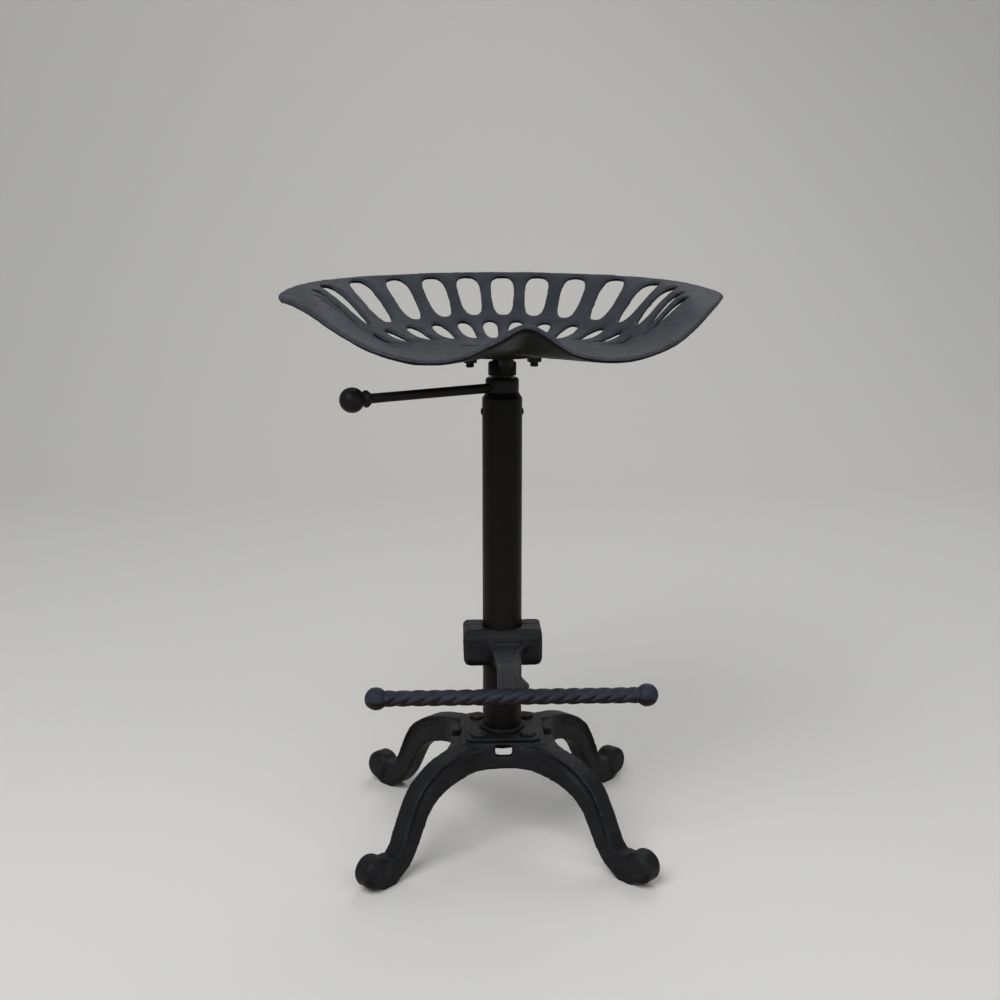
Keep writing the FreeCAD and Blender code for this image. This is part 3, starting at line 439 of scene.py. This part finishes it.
# Weld round the foot of the post
# A lumpy bead of steel, laid by hand between the tube and the flange and painted over with them.
# Its thickest lumps are where it was started and stopped.

POST_RADIUS = 0.020
WELD_REACH = POST_RADIUS + 0.0010
WELD_THICKNESS = 0.0028
bpy.ops.mesh.primitive_torus_add(major_segments=128, minor_segments=16, major_radius=WELD_REACH,
                                 minor_radius=WELD_THICKNESS, location=(0, 0, FLANGE_TOP + 0.0012))
weld = settle(newest("post_weld_bead"))
# the lumps: bearing, distance from the post's axis, radius
WELD_DROPS = [(-74, 0.0228, 0.0026), (-64, 0.0236, 0.0033), (-55, 0.0230, 0.0028),
              (-42, 0.0226, 0.0024), (118, 0.0230, 0.0028), (131, 0.0226, 0.0024)]
drops = []
for degrees, reach, radius in WELD_DROPS:
    bearing = math.radians(degrees)
    spot = (reach * math.cos(bearing), reach * math.sin(bearing), FLANGE_TOP + 0.0014)
    bpy.ops.mesh.primitive_ico_sphere_add(subdivisions=3, radius=radius, location=spot)
    drops.append(newest("weld_drop"))
weld = joined("post_weld_bead", *drops, weld)
sand_cast(weld, grain=0.0006, rounds=3, wave=0.0016, wave_size=0.0045)
fit_out(weld, base_iron, "stand", "post_paint", "post_weld")


# Rivets
# Two steel rivets go through the tube into the threaded bush and hold it. Their round heads stand
# out near the tube's top and are painted with it.

def dome(radius, height, base_height, steps=8):
    """Rings of a round head, from its rim to nearly its top."""
    turns = [math.pi / 2 * step / steps for step in range(steps)]
    return [(radius * math.cos(turn), base_height + height * math.sin(turn)) for turn in turns]


rivet_low, rivet_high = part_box("insert_rivets")
RIVET_HEIGHT = (rivet_low.z + rivet_high.z) / 2
RIVET_SHANK, RIVET_HEAD = 0.0034, 0.0039
RIVET_CROWN = 0.0019
rivets = []
for side in (-1, 1):
    rivet = turned("rivet", [(RIVET_SHANK, POST_RADIUS - 0.004), (RIVET_SHANK, POST_RADIUS - 0.0008)]
                   + dome(RIVET_HEAD, RIVET_CROWN, POST_RADIUS - 0.0004), sides=24)
    rivet.rotation_euler = (0, side * math.pi / 2, 0)
    rivet.location = (0, 0, RIVET_HEIGHT)
    rivets.append(settle(rivet))
insert_rivets = joined("insert_rivet_heads", *rivets)
fit_out(insert_rivets, post_paint, "stand", "post_paint", "insert_rivets")


# Lock nut
# A round steel jam nut on the screw. Turned home by its lever, it clamps down on the bush and
# holds the height.

lock_low, lock_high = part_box("lock_hub")
LOCK_LOW, LOCK_TOP = lock_low.z, lock_high.z
LOCK_BORE, LOCK_RADIUS = 0.0101, 0.0166
lock_nut = turned("lock_nut", [
    (LOCK_BORE, LOCK_LOW), (0.0158, LOCK_LOW), (0.0164, LOCK_LOW + 0.0002),
    (LOCK_RADIUS, LOCK_LOW + 0.0008), (LOCK_RADIUS, LOCK_TOP - 0.0019), (0.0164, LOCK_TOP - 0.0015),
    (0.0153, LOCK_TOP - 0.0003), (0.0149, LOCK_TOP), (LOCK_BORE, LOCK_TOP)], sides=64, hollow=True)
lever_paint = iron("lever_paint", (0.0072, 0.0066, 0.0066), (0.0105, 0.0090, 0.0092),
                   (0.0050, 0.0036, 0.0028), (0.024, 0.023, 0.025),
                   grain_size=0.0008, roughness=(0.38, 0.52), bump=0.00012)
fit_out(lock_nut, lever_paint, "lock_lever", "lever_paint", "lock_hub")


# Lever rod, ferrule and ball
# A round steel rod is driven into the lock nut. A turned ferrule and a cast ball are fixed on its
# end, and all are painted with the nut.

LEVER_BEARING = math.radians(210.6)
LEVER_HEIGHT = LOCK_LOW + 0.0045
BALL_REACH = 0.1665
BALL_RADIUS = 0.012
BALL_FLAT = 0.0018
BALL_WAVE_SIZE = 0.008


def on_lever(piece):
    """Lay a piece that was turned on the Z axis along the lever."""
    piece.rotation_euler = (0, math.pi / 2, LEVER_BEARING)
    piece.location = (0, 0, LEVER_HEIGHT)
    return settle(piece)


rod = on_lever(turned("lever_rod_bar", [
    (0.0047, 0.0106), (0.0048, 0.0170), (0.00475, 0.0600), (0.00465, 0.1100), (0.0047, 0.1560)],
    sides=32))
fit_out(rod, lever_paint, "lock_lever", "lever_paint", "lever_rod")

FERRULE_END = BALL_REACH - BALL_RADIUS + BALL_FLAT
ferrule = on_lever(turned("lever_ferrule_collar", [
    (0.0048, FERRULE_END - 0.0090), (0.0056, FERRULE_END - 0.0088), (0.0062, FERRULE_END - 0.0078),
    (0.0076, FERRULE_END - 0.0062), (0.0082, FERRULE_END - 0.0052), (0.0083, FERRULE_END - 0.0042),
    (0.0080, FERRULE_END - 0.0031), (0.0068, FERRULE_END - 0.0018), (0.0062, FERRULE_END),
    (0.0048, FERRULE_END)], hollow=True))
fit_out(ferrule, lever_paint, "lock_lever", "lever_paint", "lever_ferrule")


def ball_rings(reach, radius, flat, steps=20):
    """Rings of a ball round a point of the axis, flattened where it meets its rod."""
    start = -math.asin((radius - flat) / radius)
    end = math.pi / 2 * 0.97
    rings = []
    for step in range(steps + 1):
        angle = start + (end - start) * step / steps
        rings.append((radius * math.cos(angle), reach + radius * math.sin(angle)))
    return rings


ball = on_lever(turned("lever_ball_knob", ball_rings(BALL_REACH, BALL_RADIUS, BALL_FLAT)))
waver(ball, 0.0006, BALL_WAVE_SIZE)
fit_out(ball, lever_paint, "lock_lever", "lever_paint", "lever_ball")


# Footrest clamp
# Two iron castings pinch the post; the front one carries an arm that goes down and out to the bar.
# The mould left their edges blunt and flattened. Beads run from the clamp into the arm, which leans
# back behind the bar, and a web joins the arm's right side to the bar.

CLAMP_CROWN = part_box("footrest_bracket")[1].z
cap_low, cap_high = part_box("collar_cap")
CLAMP_LEFT, CLAMP_RIGHT = cap_low.x, cap_high.x
CLAMP_FOOT = cap_low.z
CLAMP_DEPTH = cap_high.y
CORNER_HALF_DEPTH = 0.05
# the corners as seen from the front: name, x, z, radius, and which way the clamp's middle lies
CLAMP_CORNERS = [("low_left", CLAMP_LEFT, CLAMP_FOOT, 0.009, 1),
                 ("low_right", CLAMP_RIGHT, CLAMP_FOOT, 0.009, 1),
                 ("high_left", CLAMP_LEFT, CLAMP_CROWN, 0.006, -1),
                 ("high_right", CLAMP_RIGHT, CLAMP_CROWN, 0.005, -1)]


def rounded_corner(name, x, z, radius, up):
    """What a round corner leaves out of a square one: a box less a cylinder, both along Y."""
    bpy.ops.mesh.primitive_cube_add(size=2 * radius, location=(x, 0, z))
    waste = newest(name)
    waste.scale.y = CORNER_HALF_DEPTH / radius
    settle(waste)
    bpy.ops.mesh.primitive_cylinder_add(vertices=48, radius=radius, depth=4 * CORNER_HALF_DEPTH,
                                        location=(x - math.copysign(radius, x), 0, z + up * radius),
                                        rotation=(math.pi / 2, 0, 0))
    cut_away(waste, settle(newest("kept_round")))
    return waste


corner_waste = joined("corner_waste", *[rounded_corner(*corner) for corner in CLAMP_CORNERS])

FLAT_BLOCK_HALF = 0.010
FLAT_REACH = 0.05
NECK_LEFT, NECK_RIGHT = -0.0105, 0.0195


def flat_on_edge(name, low_x, high_x, edge_y, edge_z, up, depth):
    """A turned block whose face takes a flat off an edge along X."""
    away = math.copysign((FLAT_BLOCK_HALF - depth / math.sqrt(2)) / math.sqrt(2), edge_y)
    middle = ((low_x + high_x) / 2, edge_y + away, edge_z + up * abs(away))
    bpy.ops.mesh.primitive_cube_add(size=2 * FLAT_BLOCK_HALF, location=middle,
                                    rotation=(math.pi / 4, 0, 0))
    block = newest(name)
    block.scale.x = (high_x - low_x) / (2 * FLAT_BLOCK_HALF)
    return settle(block)


bracket = whole_copy("footrest_bracket", "footrest_bracket_iron")
cut_away(bracket, corner_waste, last=False)
cut_away(bracket, joined(
    "front_flats",
    flat_on_edge("crown_flat", -FLAT_REACH, FLAT_REACH, -CLAMP_DEPTH, CLAMP_CROWN, 1, 0.007),
    flat_on_edge("left_flat", -FLAT_REACH, NECK_LEFT, -CLAMP_DEPTH, CLAMP_FOOT, -1, 0.006),
    flat_on_edge("right_flat", NECK_RIGHT, FLAT_REACH, -CLAMP_DEPTH, CLAMP_FOOT, -1, 0.006)))
# a leaning block takes the arm's front off where the bar passes
ARM_LEAN = math.radians(-14.2)
ARM_CUT_SIZE = 0.040
ARM_CUT_CENTRE = (0.005, -0.0759, 0.1881)
bpy.ops.mesh.primitive_cube_add(size=ARM_CUT_SIZE, location=ARM_CUT_CENTRE, rotation=(ARM_LEAN, 0, 0))
cut_away(bracket, settle(newest("arm_waste")))

RIB_FRONT = -CLAMP_DEPTH - 0.0034
RIB_LEFT, RIB_RIGHT = -0.0155, 0.0185
NECK_RIB_LEFT = -0.0090
rib = bevelled_block("rib", Vector((RIB_LEFT, RIB_FRONT, CLAMP_FOOT + 0.0125)),
                     Vector((RIB_RIGHT, RIB_FRONT + 0.012, CLAMP_CROWN - 0.0105)),
                     corner=0.004, edge=0.0015)
neck_rib = bevelled_block("neck_rib", Vector((NECK_RIB_LEFT, RIB_FRONT, CLAMP_FOOT + 0.0010)),
                          Vector((RIB_RIGHT, RIB_FRONT + 0.010, CLAMP_FOOT + 0.018)),
                          corner=0.003, edge=0.0015)
# the beads down the arm's left and right edges and over the bar: radius, then the line
ARM_BEADS = [
    (0.0030, [(-0.0110, -0.0270, 0.2085), (-0.0085, -0.0360, 0.2075), (-0.0055, -0.0490, 0.2000),
              (-0.0036, -0.0540, 0.1905), (-0.0030, -0.0565, 0.1795), (-0.0030, -0.0575, 0.1735)]),
    (0.0032, [(0.0250, -0.0240, 0.2120), (0.0180, -0.0300, 0.2105), (0.0130, -0.0390, 0.2065),
              (0.0110, -0.0490, 0.2000), (0.0125, -0.0540, 0.1905), (0.0160, -0.0560, 0.1805),
              (0.0180, -0.0575, 0.1735)]),
    (0.0034, [(-0.0060, -0.0548, 0.1755), (0.0060, -0.0548, 0.1755), (0.0230, -0.0548, 0.1745)])]
beads = [rounded_rod("arm_bead", line, radius) for radius, line in ARM_BEADS]
GUSSET_SIZE = 0.010
GUSSET_CENTRE = (0.0182, -0.0530, 0.1778)
bpy.ops.mesh.primitive_cube_add(size=GUSSET_SIZE, location=GUSSET_CENTRE, rotation=(0, math.pi / 4, 0))
gusset = settle(newest("gusset"))
bracket = joined("footrest_bracket_iron", rib, neck_rib, *beads, gusset, bracket)
sand_cast(bracket, grain=0.0010, rounds=6, wave=0.0008, wave_size=0.009)
arm_iron = iron("arm_iron", *BASE_TONES)
# painted light: the arm's front is painted lighter, towards this tone, where the light falls on it
ARM_LIT_TONE = (0.0330, 0.0335, 0.0355)
LIT_FROM, LIT_TO = -0.028, -0.048
arm_shader = arm_iron.node_tree.nodes["Principled BSDF"]
arm_place = node_for(arm_iron, "SeparateXYZ", Vector=node_for(arm_iron, "TexCoord").outputs["Object"])
lit_arm = between(arm_iron, stepped(arm_iron, arm_place.outputs["Y"], LIT_FROM, LIT_TO),
                     arm_shader.inputs["Base Color"].links[0].from_socket, ARM_LIT_TONE)
arm_iron.node_tree.links.new(lit_arm, arm_shader.inputs["Base Color"])
fit_out(bracket, arm_iron, "footrest", "base_iron", "footrest_bracket")

cap = whole_copy("collar_cap", "collar_cap_iron")
cut_away(cap, corner_waste)
cut_away(cap, joined(
    "rear_flats",
    flat_on_edge("rear_crown_flat", -FLAT_REACH, FLAT_REACH, CLAMP_DEPTH, CLAMP_CROWN, 1, 0.009),
    flat_on_edge("rear_foot_flat", -FLAT_REACH, FLAT_REACH, CLAMP_DEPTH, CLAMP_FOOT, -1, 0.006)))
sand_cast(cap, grain=0.0011, rounds=7, wave=0.0008, wave_size=0.009)
fit_out(cap, base_iron, "footrest", "base_iron", "collar_cap")


# Clamp bolts
# Two hexagon bolts of blackened steel go through the rear half from behind, over washers, and are
# screwed into the front half.

clamp_low, clamp_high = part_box("collar_bolts")
CLAMP_BOLT_HEIGHT = (clamp_low.z + clamp_high.z) / 2
CLAMP_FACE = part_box("collar_washers")[1].y
CLAMP_BOLT_REACH = 0.030
CLAMP_SHANK = 0.004
clamp_head = hexagon_block("clamp_head", 0.0074, 0, clamp_high.y - CLAMP_FACE - CROWN_ROOM, 0.0004)
clamp_shank = turned("clamp_shank", [(CLAMP_SHANK, clamp_low.y - CLAMP_FACE), (CLAMP_SHANK, 0.001)],
                     sides=24)
clamp_bolt = joined("clamp_bolt", clamp_shank, clamp_head)
clamp_bolts = copies_at("clamp_bolts", clamp_bolt,
                        [(-CLAMP_BOLT_REACH, 0, 0), (CLAMP_BOLT_REACH, 0, 0)], [0.3, 0.8])
clamp_bolts.rotation_euler = (-math.pi / 2, 0, 0)
clamp_bolts.location = (0, CLAMP_FACE, CLAMP_BOLT_HEIGHT)
fit_out(clamp_bolts, rusty_black, "footrest", "dark_steel", "collar_bolts")
repaint("collar_washers", rusty_black)


# Footrest bar
# A cast iron bar of four rounded strands twisted like rope, with a ball at each end. The clamp's
# arm holds it in the middle, and its paint is bluer than the base's.

bar_low, bar_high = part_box("foot_bar")
BAR_FRONT = (bar_low.y + bar_high.y) / 2
BAR_HEIGHT = (bar_low.z + bar_high.z) / 2
STRANDS = 4
STRAND_POINTS = 8
# the points of a strand's outline that are drawn in, and by how much: its valley the most
STRAND_VALLEY = ((4, 0.80), (3, 0.88), (5, 0.88), (2, 0.96), (6, 0.96))
STRAND_LEAD = 0.0616
RINGS_PER_TURN = 28
BAR_CROWN = (bar_high.z - bar_low.z) / 2
bpy.ops.mesh.primitive_circle_add(vertices=STRAND_POINTS * STRANDS, radius=BAR_CROWN,
                                  location=(0, 0, 0))
bar = newest("foot_bar_twisted")
for step, shrink in STRAND_VALLEY:
    bpy.ops.object.mode_set(mode="EDIT")
    bpy.ops.mesh.select_mode(type="VERT")
    bpy.ops.mesh.select_all(action="DESELECT")
    bpy.ops.object.mode_set(mode="OBJECT")
    for spot in bar.data.vertices:
        spot.select = spot.index % STRAND_POINTS == step
    bpy.ops.object.mode_set(mode="EDIT")
    bpy.ops.transform.resize(value=(shrink, shrink, 1), center_override=(0, 0, 0))
bpy.ops.mesh.select_all(action="SELECT")
ring_step = STRAND_LEAD / RINGS_PER_TURN
ring_count = round((bar_high.x - bar_low.x) / ring_step)
ring_step = (bar_high.x - bar_low.x) / ring_count
for ring in range(ring_count):
    bpy.ops.mesh.extrude_region_move(TRANSFORM_OT_translate={"value": (0, 0, ring_step)})
    bpy.ops.transform.rotate(value=2 * math.pi * ring_step / STRAND_LEAD, orient_axis="Z",
                             center_override=(0, 0, (ring + 1) * ring_step))
bpy.ops.mesh.select_all(action="DESELECT")
bpy.ops.mesh.select_non_manifold()
bpy.ops.mesh.fill_holes(sides=0)
bpy.ops.mesh.select_all(action="SELECT")
bpy.ops.mesh.normals_make_consistent(inside=False)
bpy.ops.object.mode_set(mode="OBJECT")
bar.rotation_euler = (0, math.pi / 2, 0)
bar.location = (bar_low.x, BAR_FRONT, BAR_HEIGHT)
settle(bar)
work_on(bar, "SUBSURF", levels=1, render_levels=1)
waver(bar, 0.0008, 0.009)
bpy.ops.object.shade_smooth()
bar_iron = iron("bar_iron", (0.0240, 0.0275, 0.0420), (0.0165, 0.0185, 0.0265), (0.0085, 0.0045, 0.0045),
                (0.060, 0.068, 0.090), roughness=(0.42, 0.58))
fit_out(bar, bar_iron, "footrest", "bar_iron", "foot_bar")

BAR_BALL_RADIUS = 0.0115
NECK_RINGS = [(0.0070, -0.0135), (0.0076, -0.0118), (0.0079, -0.0100)]
for side, name in ((-1, "left"), (1, "right")):
    node = "foot_bar_ball_" + name
    low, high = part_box(node)
    centre = (low.x + BAR_BALL_RADIUS) if side < 0 else (high.x - BAR_BALL_RADIUS)
    end_ball = turned(node + "_cast", NECK_RINGS + ball_rings(0, BAR_BALL_RADIUS, 0.0032))
    end_ball.rotation_euler = (0, side * math.pi / 2, 0)
    end_ball.location = (centre, BAR_FRONT, BAR_HEIGHT)
    settle(end_ball)
    waver(end_ball, 0.0007, BALL_WAVE_SIZE)
    fit_out(end_ball, bar_iron, "footrest", "bar_iron", node)


# Lift screw
# Machined steel with a coarse trapezoid thread, dark with oil; a thinner journal at its foot
# carries the guide bush.

screw_low, screw_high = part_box("lift_screw")
THREAD_PITCH = 0.008
THREAD_ROOT, THREAD_CREST = 0.0078, 0.0099
THREAD_DEPTH = THREAD_CREST - THREAD_ROOT
# one turn's outline, as steps out and up: root, flank, crest, flank
THREAD_STEPS = ((0, 0.0023), (THREAD_DEPTH, 0.0012), (0, 0.0033), (-THREAD_DEPTH, 0.0012))
THREAD_SIDES = 40
JOURNAL_LENGTH = 0.045
JOURNAL_RADIUS = 0.006
THREAD_FOOT = screw_low.z + JOURNAL_LENGTH
TURNS = math.ceil((screw_high.z - THREAD_FOOT) / THREAD_PITCH) + 2
bpy.ops.mesh.primitive_plane_add(size=0.001, location=(THREAD_ROOT, 0, THREAD_FOOT - THREAD_PITCH))
screw = settle(newest("lift_screw_thread"))
bpy.ops.object.mode_set(mode="EDIT")
bpy.ops.mesh.select_all(action="SELECT")
bpy.ops.mesh.merge(type="CENTER")
for out, up in THREAD_STEPS:
    bpy.ops.mesh.extrude_vertices_move(TRANSFORM_OT_translate={"value": (out, 0, up)})
bpy.ops.object.mode_set(mode="OBJECT")
work_on(screw, "SCREW", axis="Z", angle=2 * math.pi, screw_offset=THREAD_PITCH, iterations=TURNS,
        steps=THREAD_SIDES, render_steps=THREAD_SIDES, use_merge_vertices=True)
bpy.ops.object.mode_set(mode="EDIT")
for height, above in ((THREAD_FOOT, False), (screw_high.z, True)):
    bpy.ops.mesh.select_all(action="SELECT")
    bpy.ops.mesh.bisect(plane_co=(0, 0, height), plane_no=(0, 0, 1), use_fill=True,
                        clear_inner=not above, clear_outer=above)
bpy.ops.mesh.select_all(action="SELECT")
bpy.ops.mesh.remove_doubles(threshold=0.00001)
bpy.ops.mesh.normals_make_consistent(inside=False)
bpy.ops.object.mode_set(mode="OBJECT")
bpy.ops.object.shade_smooth_by_angle(angle=math.radians(30))
journal = turned("screw_journal", [
    (0.005, screw_low.z), (JOURNAL_RADIUS, screw_low.z + 0.001),
    (JOURNAL_RADIUS, THREAD_FOOT + 0.001)], sides=32)
screw = joined("lift_screw_thread", journal, screw)


def oiled_steel():
    """Machined thread, dark with oil, with patches of old grease."""
    material, shader, place = new_finish("oiled_steel")
    shader.inputs["Metallic"].default_value = 1
    smear = node_for(material, "TexNoise", Vector=place, Scale=90, Detail=4)
    stretch = node_for(material, "Mapping", Vector=place, Scale=(0.2, 0.2, 1)).outputs["Vector"]
    cutter_marks = node_for(material, "TexNoise", Vector=stretch, Scale=2600, Detail=2)
    colour = between(material, stepped(material, smear.outputs["Fac"], 0.4, 0.65),
                     (0.10, 0.095, 0.088), (0.040, 0.033, 0.027))
    material.node_tree.links.new(colour, shader.inputs["Base Color"])
    gloss = node_for(material, "MapRange", Value=smear.outputs["Fac"], From_Min=0.35, From_Max=0.65,
                     To_Min=0.3, To_Max=0.5)
    material.node_tree.links.new(gloss.outputs["Result"], shader.inputs["Roughness"])
    marks = node_for(material, "Bump", Height=cutter_marks.outputs["Fac"], Strength=0.3,
                     Distance=0.00008)
    material.node_tree.links.new(marks.outputs["Normal"], shader.inputs["Normal"])
    return material


screw_steel = oiled_steel()
fit_out(screw, screw_steel, "seat", "screw_steel", "lift_screw")


# Guide bush and its washer and nut
# A moulded nylon bush rides in the post below the screw; a steel washer and nut keep it on the
# journal, and a grub screw locks the seat's boss.

def nylon_finish():
    """Plain moulded nylon with a faint fine texture, greyed by grease."""
    material, shader, place = new_finish("guide_nylon")
    grease = node_for(material, "TexNoise", Vector=place, Scale=60, Detail=3)
    colour = between(material, stepped(material, grease.outputs["Fac"], 0.45, 0.7),
                     (0.62, 0.60, 0.54), (0.30, 0.28, 0.24))
    material.node_tree.links.new(colour, shader.inputs["Base Color"])
    shader.inputs["Roughness"].default_value = 0.5
    fine = node_for(material, "TexNoise", Vector=place, Scale=1500, Detail=2)
    skin = node_for(material, "Bump", Height=fine.outputs["Fac"], Strength=0.2, Distance=0.0001)
    material.node_tree.links.new(skin.outputs["Normal"], shader.inputs["Normal"])
    return material


repaint("guide_bush", nylon_finish())
for node in ("screw_end_washer", "screw_end_nut", "hub_grub_screw"):
    repaint(node, rusty_black)


# Seat hub and plate
# A steel boss with a thin neck is screwed on the lift screw and welded to a round plate under the
# seat. Both are painted with the post.

BOSS_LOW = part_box("seat_hub")[0].z
BOSS_TOP = BOSS_LOW + 0.0136
BOSS_BORE, BOSS_RADIUS = 0.0100, 0.0140
NECK_RADIUS = 0.0097
plate_low, plate_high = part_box("seat_plate")
hub = turned("seat_hub_boss", [
    (BOSS_BORE, BOSS_LOW), (0.0136, BOSS_LOW), (BOSS_RADIUS, BOSS_LOW + 0.0004),
    (BOSS_RADIUS, BOSS_TOP - 0.0017), (0.0137, BOSS_TOP - 0.0012), (0.0127, BOSS_TOP - 0.0002),
    (0.0123, BOSS_TOP), (0.0106, BOSS_TOP), (BOSS_BORE, BOSS_TOP + 0.0005),
    (NECK_RADIUS, BOSS_TOP + 0.0012), (NECK_RADIUS, plate_high.z)], sides=64)
fit_out(hub, post_paint, "seat", "post_paint", "seat_hub")

PLATE_RADIUS = 0.0385
plate = turned("seat_plate_disc", [
    (NECK_RADIUS, plate_low.z), (0.0379, plate_low.z), (0.0384, plate_low.z + 0.0005),
    (PLATE_RADIUS, plate_low.z + 0.0012), (PLATE_RADIUS, plate_high.z), (NECK_RADIUS, plate_high.z)],
    sides=96, hollow=True)
fit_out(plate, post_paint, "seat", "post_paint", "seat_plate")


# Seat pan
# The cast iron tractor seat: a slotted bucket with two leg wings and a raised front peak.
# Its slots come out of the mould with blunt edges, its rim is rolled, and its peak is a soft hump
# a little to the right of the middle.

pan = whole_copy("seat_pan", "seat_pan_iron")
work_on(pan, "REMESH", mode="VOXEL", voxel_size=0.0020)
PEAK = Vector((0.0105, -0.126, 0.536))
PEAK_REACH = 0.052
# how far the peak is moved sideways, up and outwards
PEAK_MOVES = (("X", 0.0050), ("Z", 0.0006), ("NORMAL", 0.0016))
peak_group = pan.vertex_groups.new(name="peak")
for spot in pan.data.vertices:
    near = 1 - (spot.co - PEAK).length / PEAK_REACH
    if near > 0:
        peak_group.add([spot.index], min(1, 2 * near), "REPLACE")
work_on(pan, "SMOOTH", factor=0.6, iterations=90, vertex_group="peak")
for direction, distance in PEAK_MOVES:
    work_on(pan, "DISPLACE", direction=direction, strength=distance, mid_level=0, vertex_group="peak")
pan.vertex_groups.clear()
sand_cast(pan, grain=0.0016, rounds=5, wave=0.0008, wave_size=0.016)
seat_iron = iron("seat_iron", (0.0345, 0.0395, 0.0490), (0.0260, 0.0295, 0.0370),
                 (0.0030, 0.0024, 0.0020), (0.074, 0.083, 0.098), roughness=(0.42, 0.58), shine=0.09)
fit_out(pan, seat_iron, "seat", "seat_iron", "seat_pan")


# Seat bolts
# Four round-headed steel bolts come down through the seat and the plate to washers and nuts.
# Their heads are painted over with the seat.

SEAT_TURN = math.radians(4.4)
SEAT_BOLT_CIRCLE = 0.032
seat_spots = []
for quarter in range(4):
    bearing = SEAT_TURN + math.pi / 2 * quarter
    seat_spots.append((SEAT_BOLT_CIRCLE * math.cos(bearing), SEAT_BOLT_CIRCLE * math.sin(bearing), 0))
bolt_low, bolt_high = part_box("seat_bolts")
SEAT_BOLT_LENGTH = 0.022
SEAT_SHANK, SEAT_HEAD = 0.004, 0.009
HEAD_SEAT = bolt_low.z + SEAT_BOLT_LENGTH
seat_bolt = turned("seat_bolt", [
    (0.0034, bolt_low.z), (SEAT_SHANK, bolt_low.z + 0.0008), (SEAT_SHANK, HEAD_SEAT + 0.0003)]
    + dome(SEAT_HEAD, bolt_high.z - HEAD_SEAT - 0.0024, HEAD_SEAT + 0.0004), sides=32)
seat_bolts = copies_at("seat_bolts_painted", seat_bolt, seat_spots)
fit_out(seat_bolts, rusty_black, "seat", "dark_steel", "seat_bolts")
seat_bolts.data.materials.append(seat_iron)
for face in seat_bolts.data.polygons:
    face.material_index = 1 if face.center.z > HEAD_SEAT else 0

nut_low, nut_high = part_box("seat_nuts")
SEAT_CROWN_ROOM = 0.0003
seat_nut = hexagon_block("seat_nut", 0.0075, nut_low.z + SEAT_CROWN_ROOM, nut_high.z - SEAT_CROWN_ROOM,
                         0.0004)
seat_nuts = copies_at("seat_nuts_blackened", seat_nut, seat_spots, [0.2, 0.7, 0.1, 0.5])
fit_out(seat_nuts, lever_paint, "seat", "dark_steel", "seat_nuts")
repaint("seat_washers", lever_paint)


# Studio
# A pale sweep of paper behind and below the stool, three soft lamps, and the photograph's
# viewpoint.

SWEEP_SIZE = (9, 7, 1)
SWEEP_HEIGHT = 4
SWEEP_BEND = 1.2
bpy.ops.mesh.primitive_plane_add(size=1, location=(0, -0.6, 0))
sweep = newest("studio_sweep")
sweep.scale = SWEEP_SIZE
settle(sweep)
bpy.ops.object.mode_set(mode="EDIT")
bpy.ops.mesh.select_mode(type="EDGE")
bpy.ops.mesh.select_all(action="DESELECT")
bpy.ops.object.mode_set(mode="OBJECT")
far_edge = max(spot.co.y for spot in sweep.data.vertices)
for line in sweep.data.edges:
    line.select = all(sweep.data.vertices[index].co.y > far_edge - 0.001 for index in line.vertices)
bpy.ops.object.mode_set(mode="EDIT")
bpy.ops.mesh.extrude_region_move(TRANSFORM_OT_translate={"value": (0, 0, SWEEP_HEIGHT)})
bpy.ops.object.mode_set(mode="OBJECT")
work_on(sweep, "BEVEL", width=SWEEP_BEND, segments=24, limit_method="ANGLE")
bpy.ops.object.shade_smooth()
paper = bpy.data.materials.new("sweep_paper")
paper.use_nodes = True
paper_shader = paper.node_tree.nodes["Principled BSDF"]
paper_shader.inputs["Base Color"].default_value = (0.74, 0.73, 0.70, 1)
paper_shader.inputs["Roughness"].default_value = 0.9
sweep.data.materials.append(paper)

LAMP_AIM = Vector((0, 0, 0.3))
# name, place, width, watts
LAMPS = [
    ("key_lamp", (-0.9, -1.6, 2.3), 1.8, 48),
    ("fill_lamp", (1.4, -2.0, 1.7), 2.0, 16),
    ("back_lamp", (0.6, 1.7, 2.4), 1.6, 15),
]
for name, spot, width, power in LAMPS:
    bpy.ops.object.light_add(type="AREA", location=spot)
    lamp = newest(name)
    lamp.data.shape = "SQUARE"
    lamp.data.size = width
    lamp.data.energy = power
    lamp.rotation_euler = (LAMP_AIM - Vector(spot)).to_track_quat("-Z", "Y").to_euler()

world = bpy.data.worlds.new("studio_air")
bpy.context.scene.world = world
world.use_nodes = True
air = world.node_tree.nodes["Background"]
air.inputs["Color"].default_value = (0.86, 0.88, 0.92, 1)
air.inputs["Strength"].default_value = 0.26

CAMERA_PLACE = (-0.0596, -1.3697, 0.658)
CAMERA_TURN = (math.radians(77.6), 0, math.radians(-2.4))
bpy.ops.object.camera_add(location=CAMERA_PLACE, rotation=CAMERA_TURN)
camera = newest("photo_camera")
camera.data.sensor_width = 36
camera.data.lens = 50.04
bpy.context.scene.camera = camera
bpy.context.scene.view_settings.view_transform = "Standard"
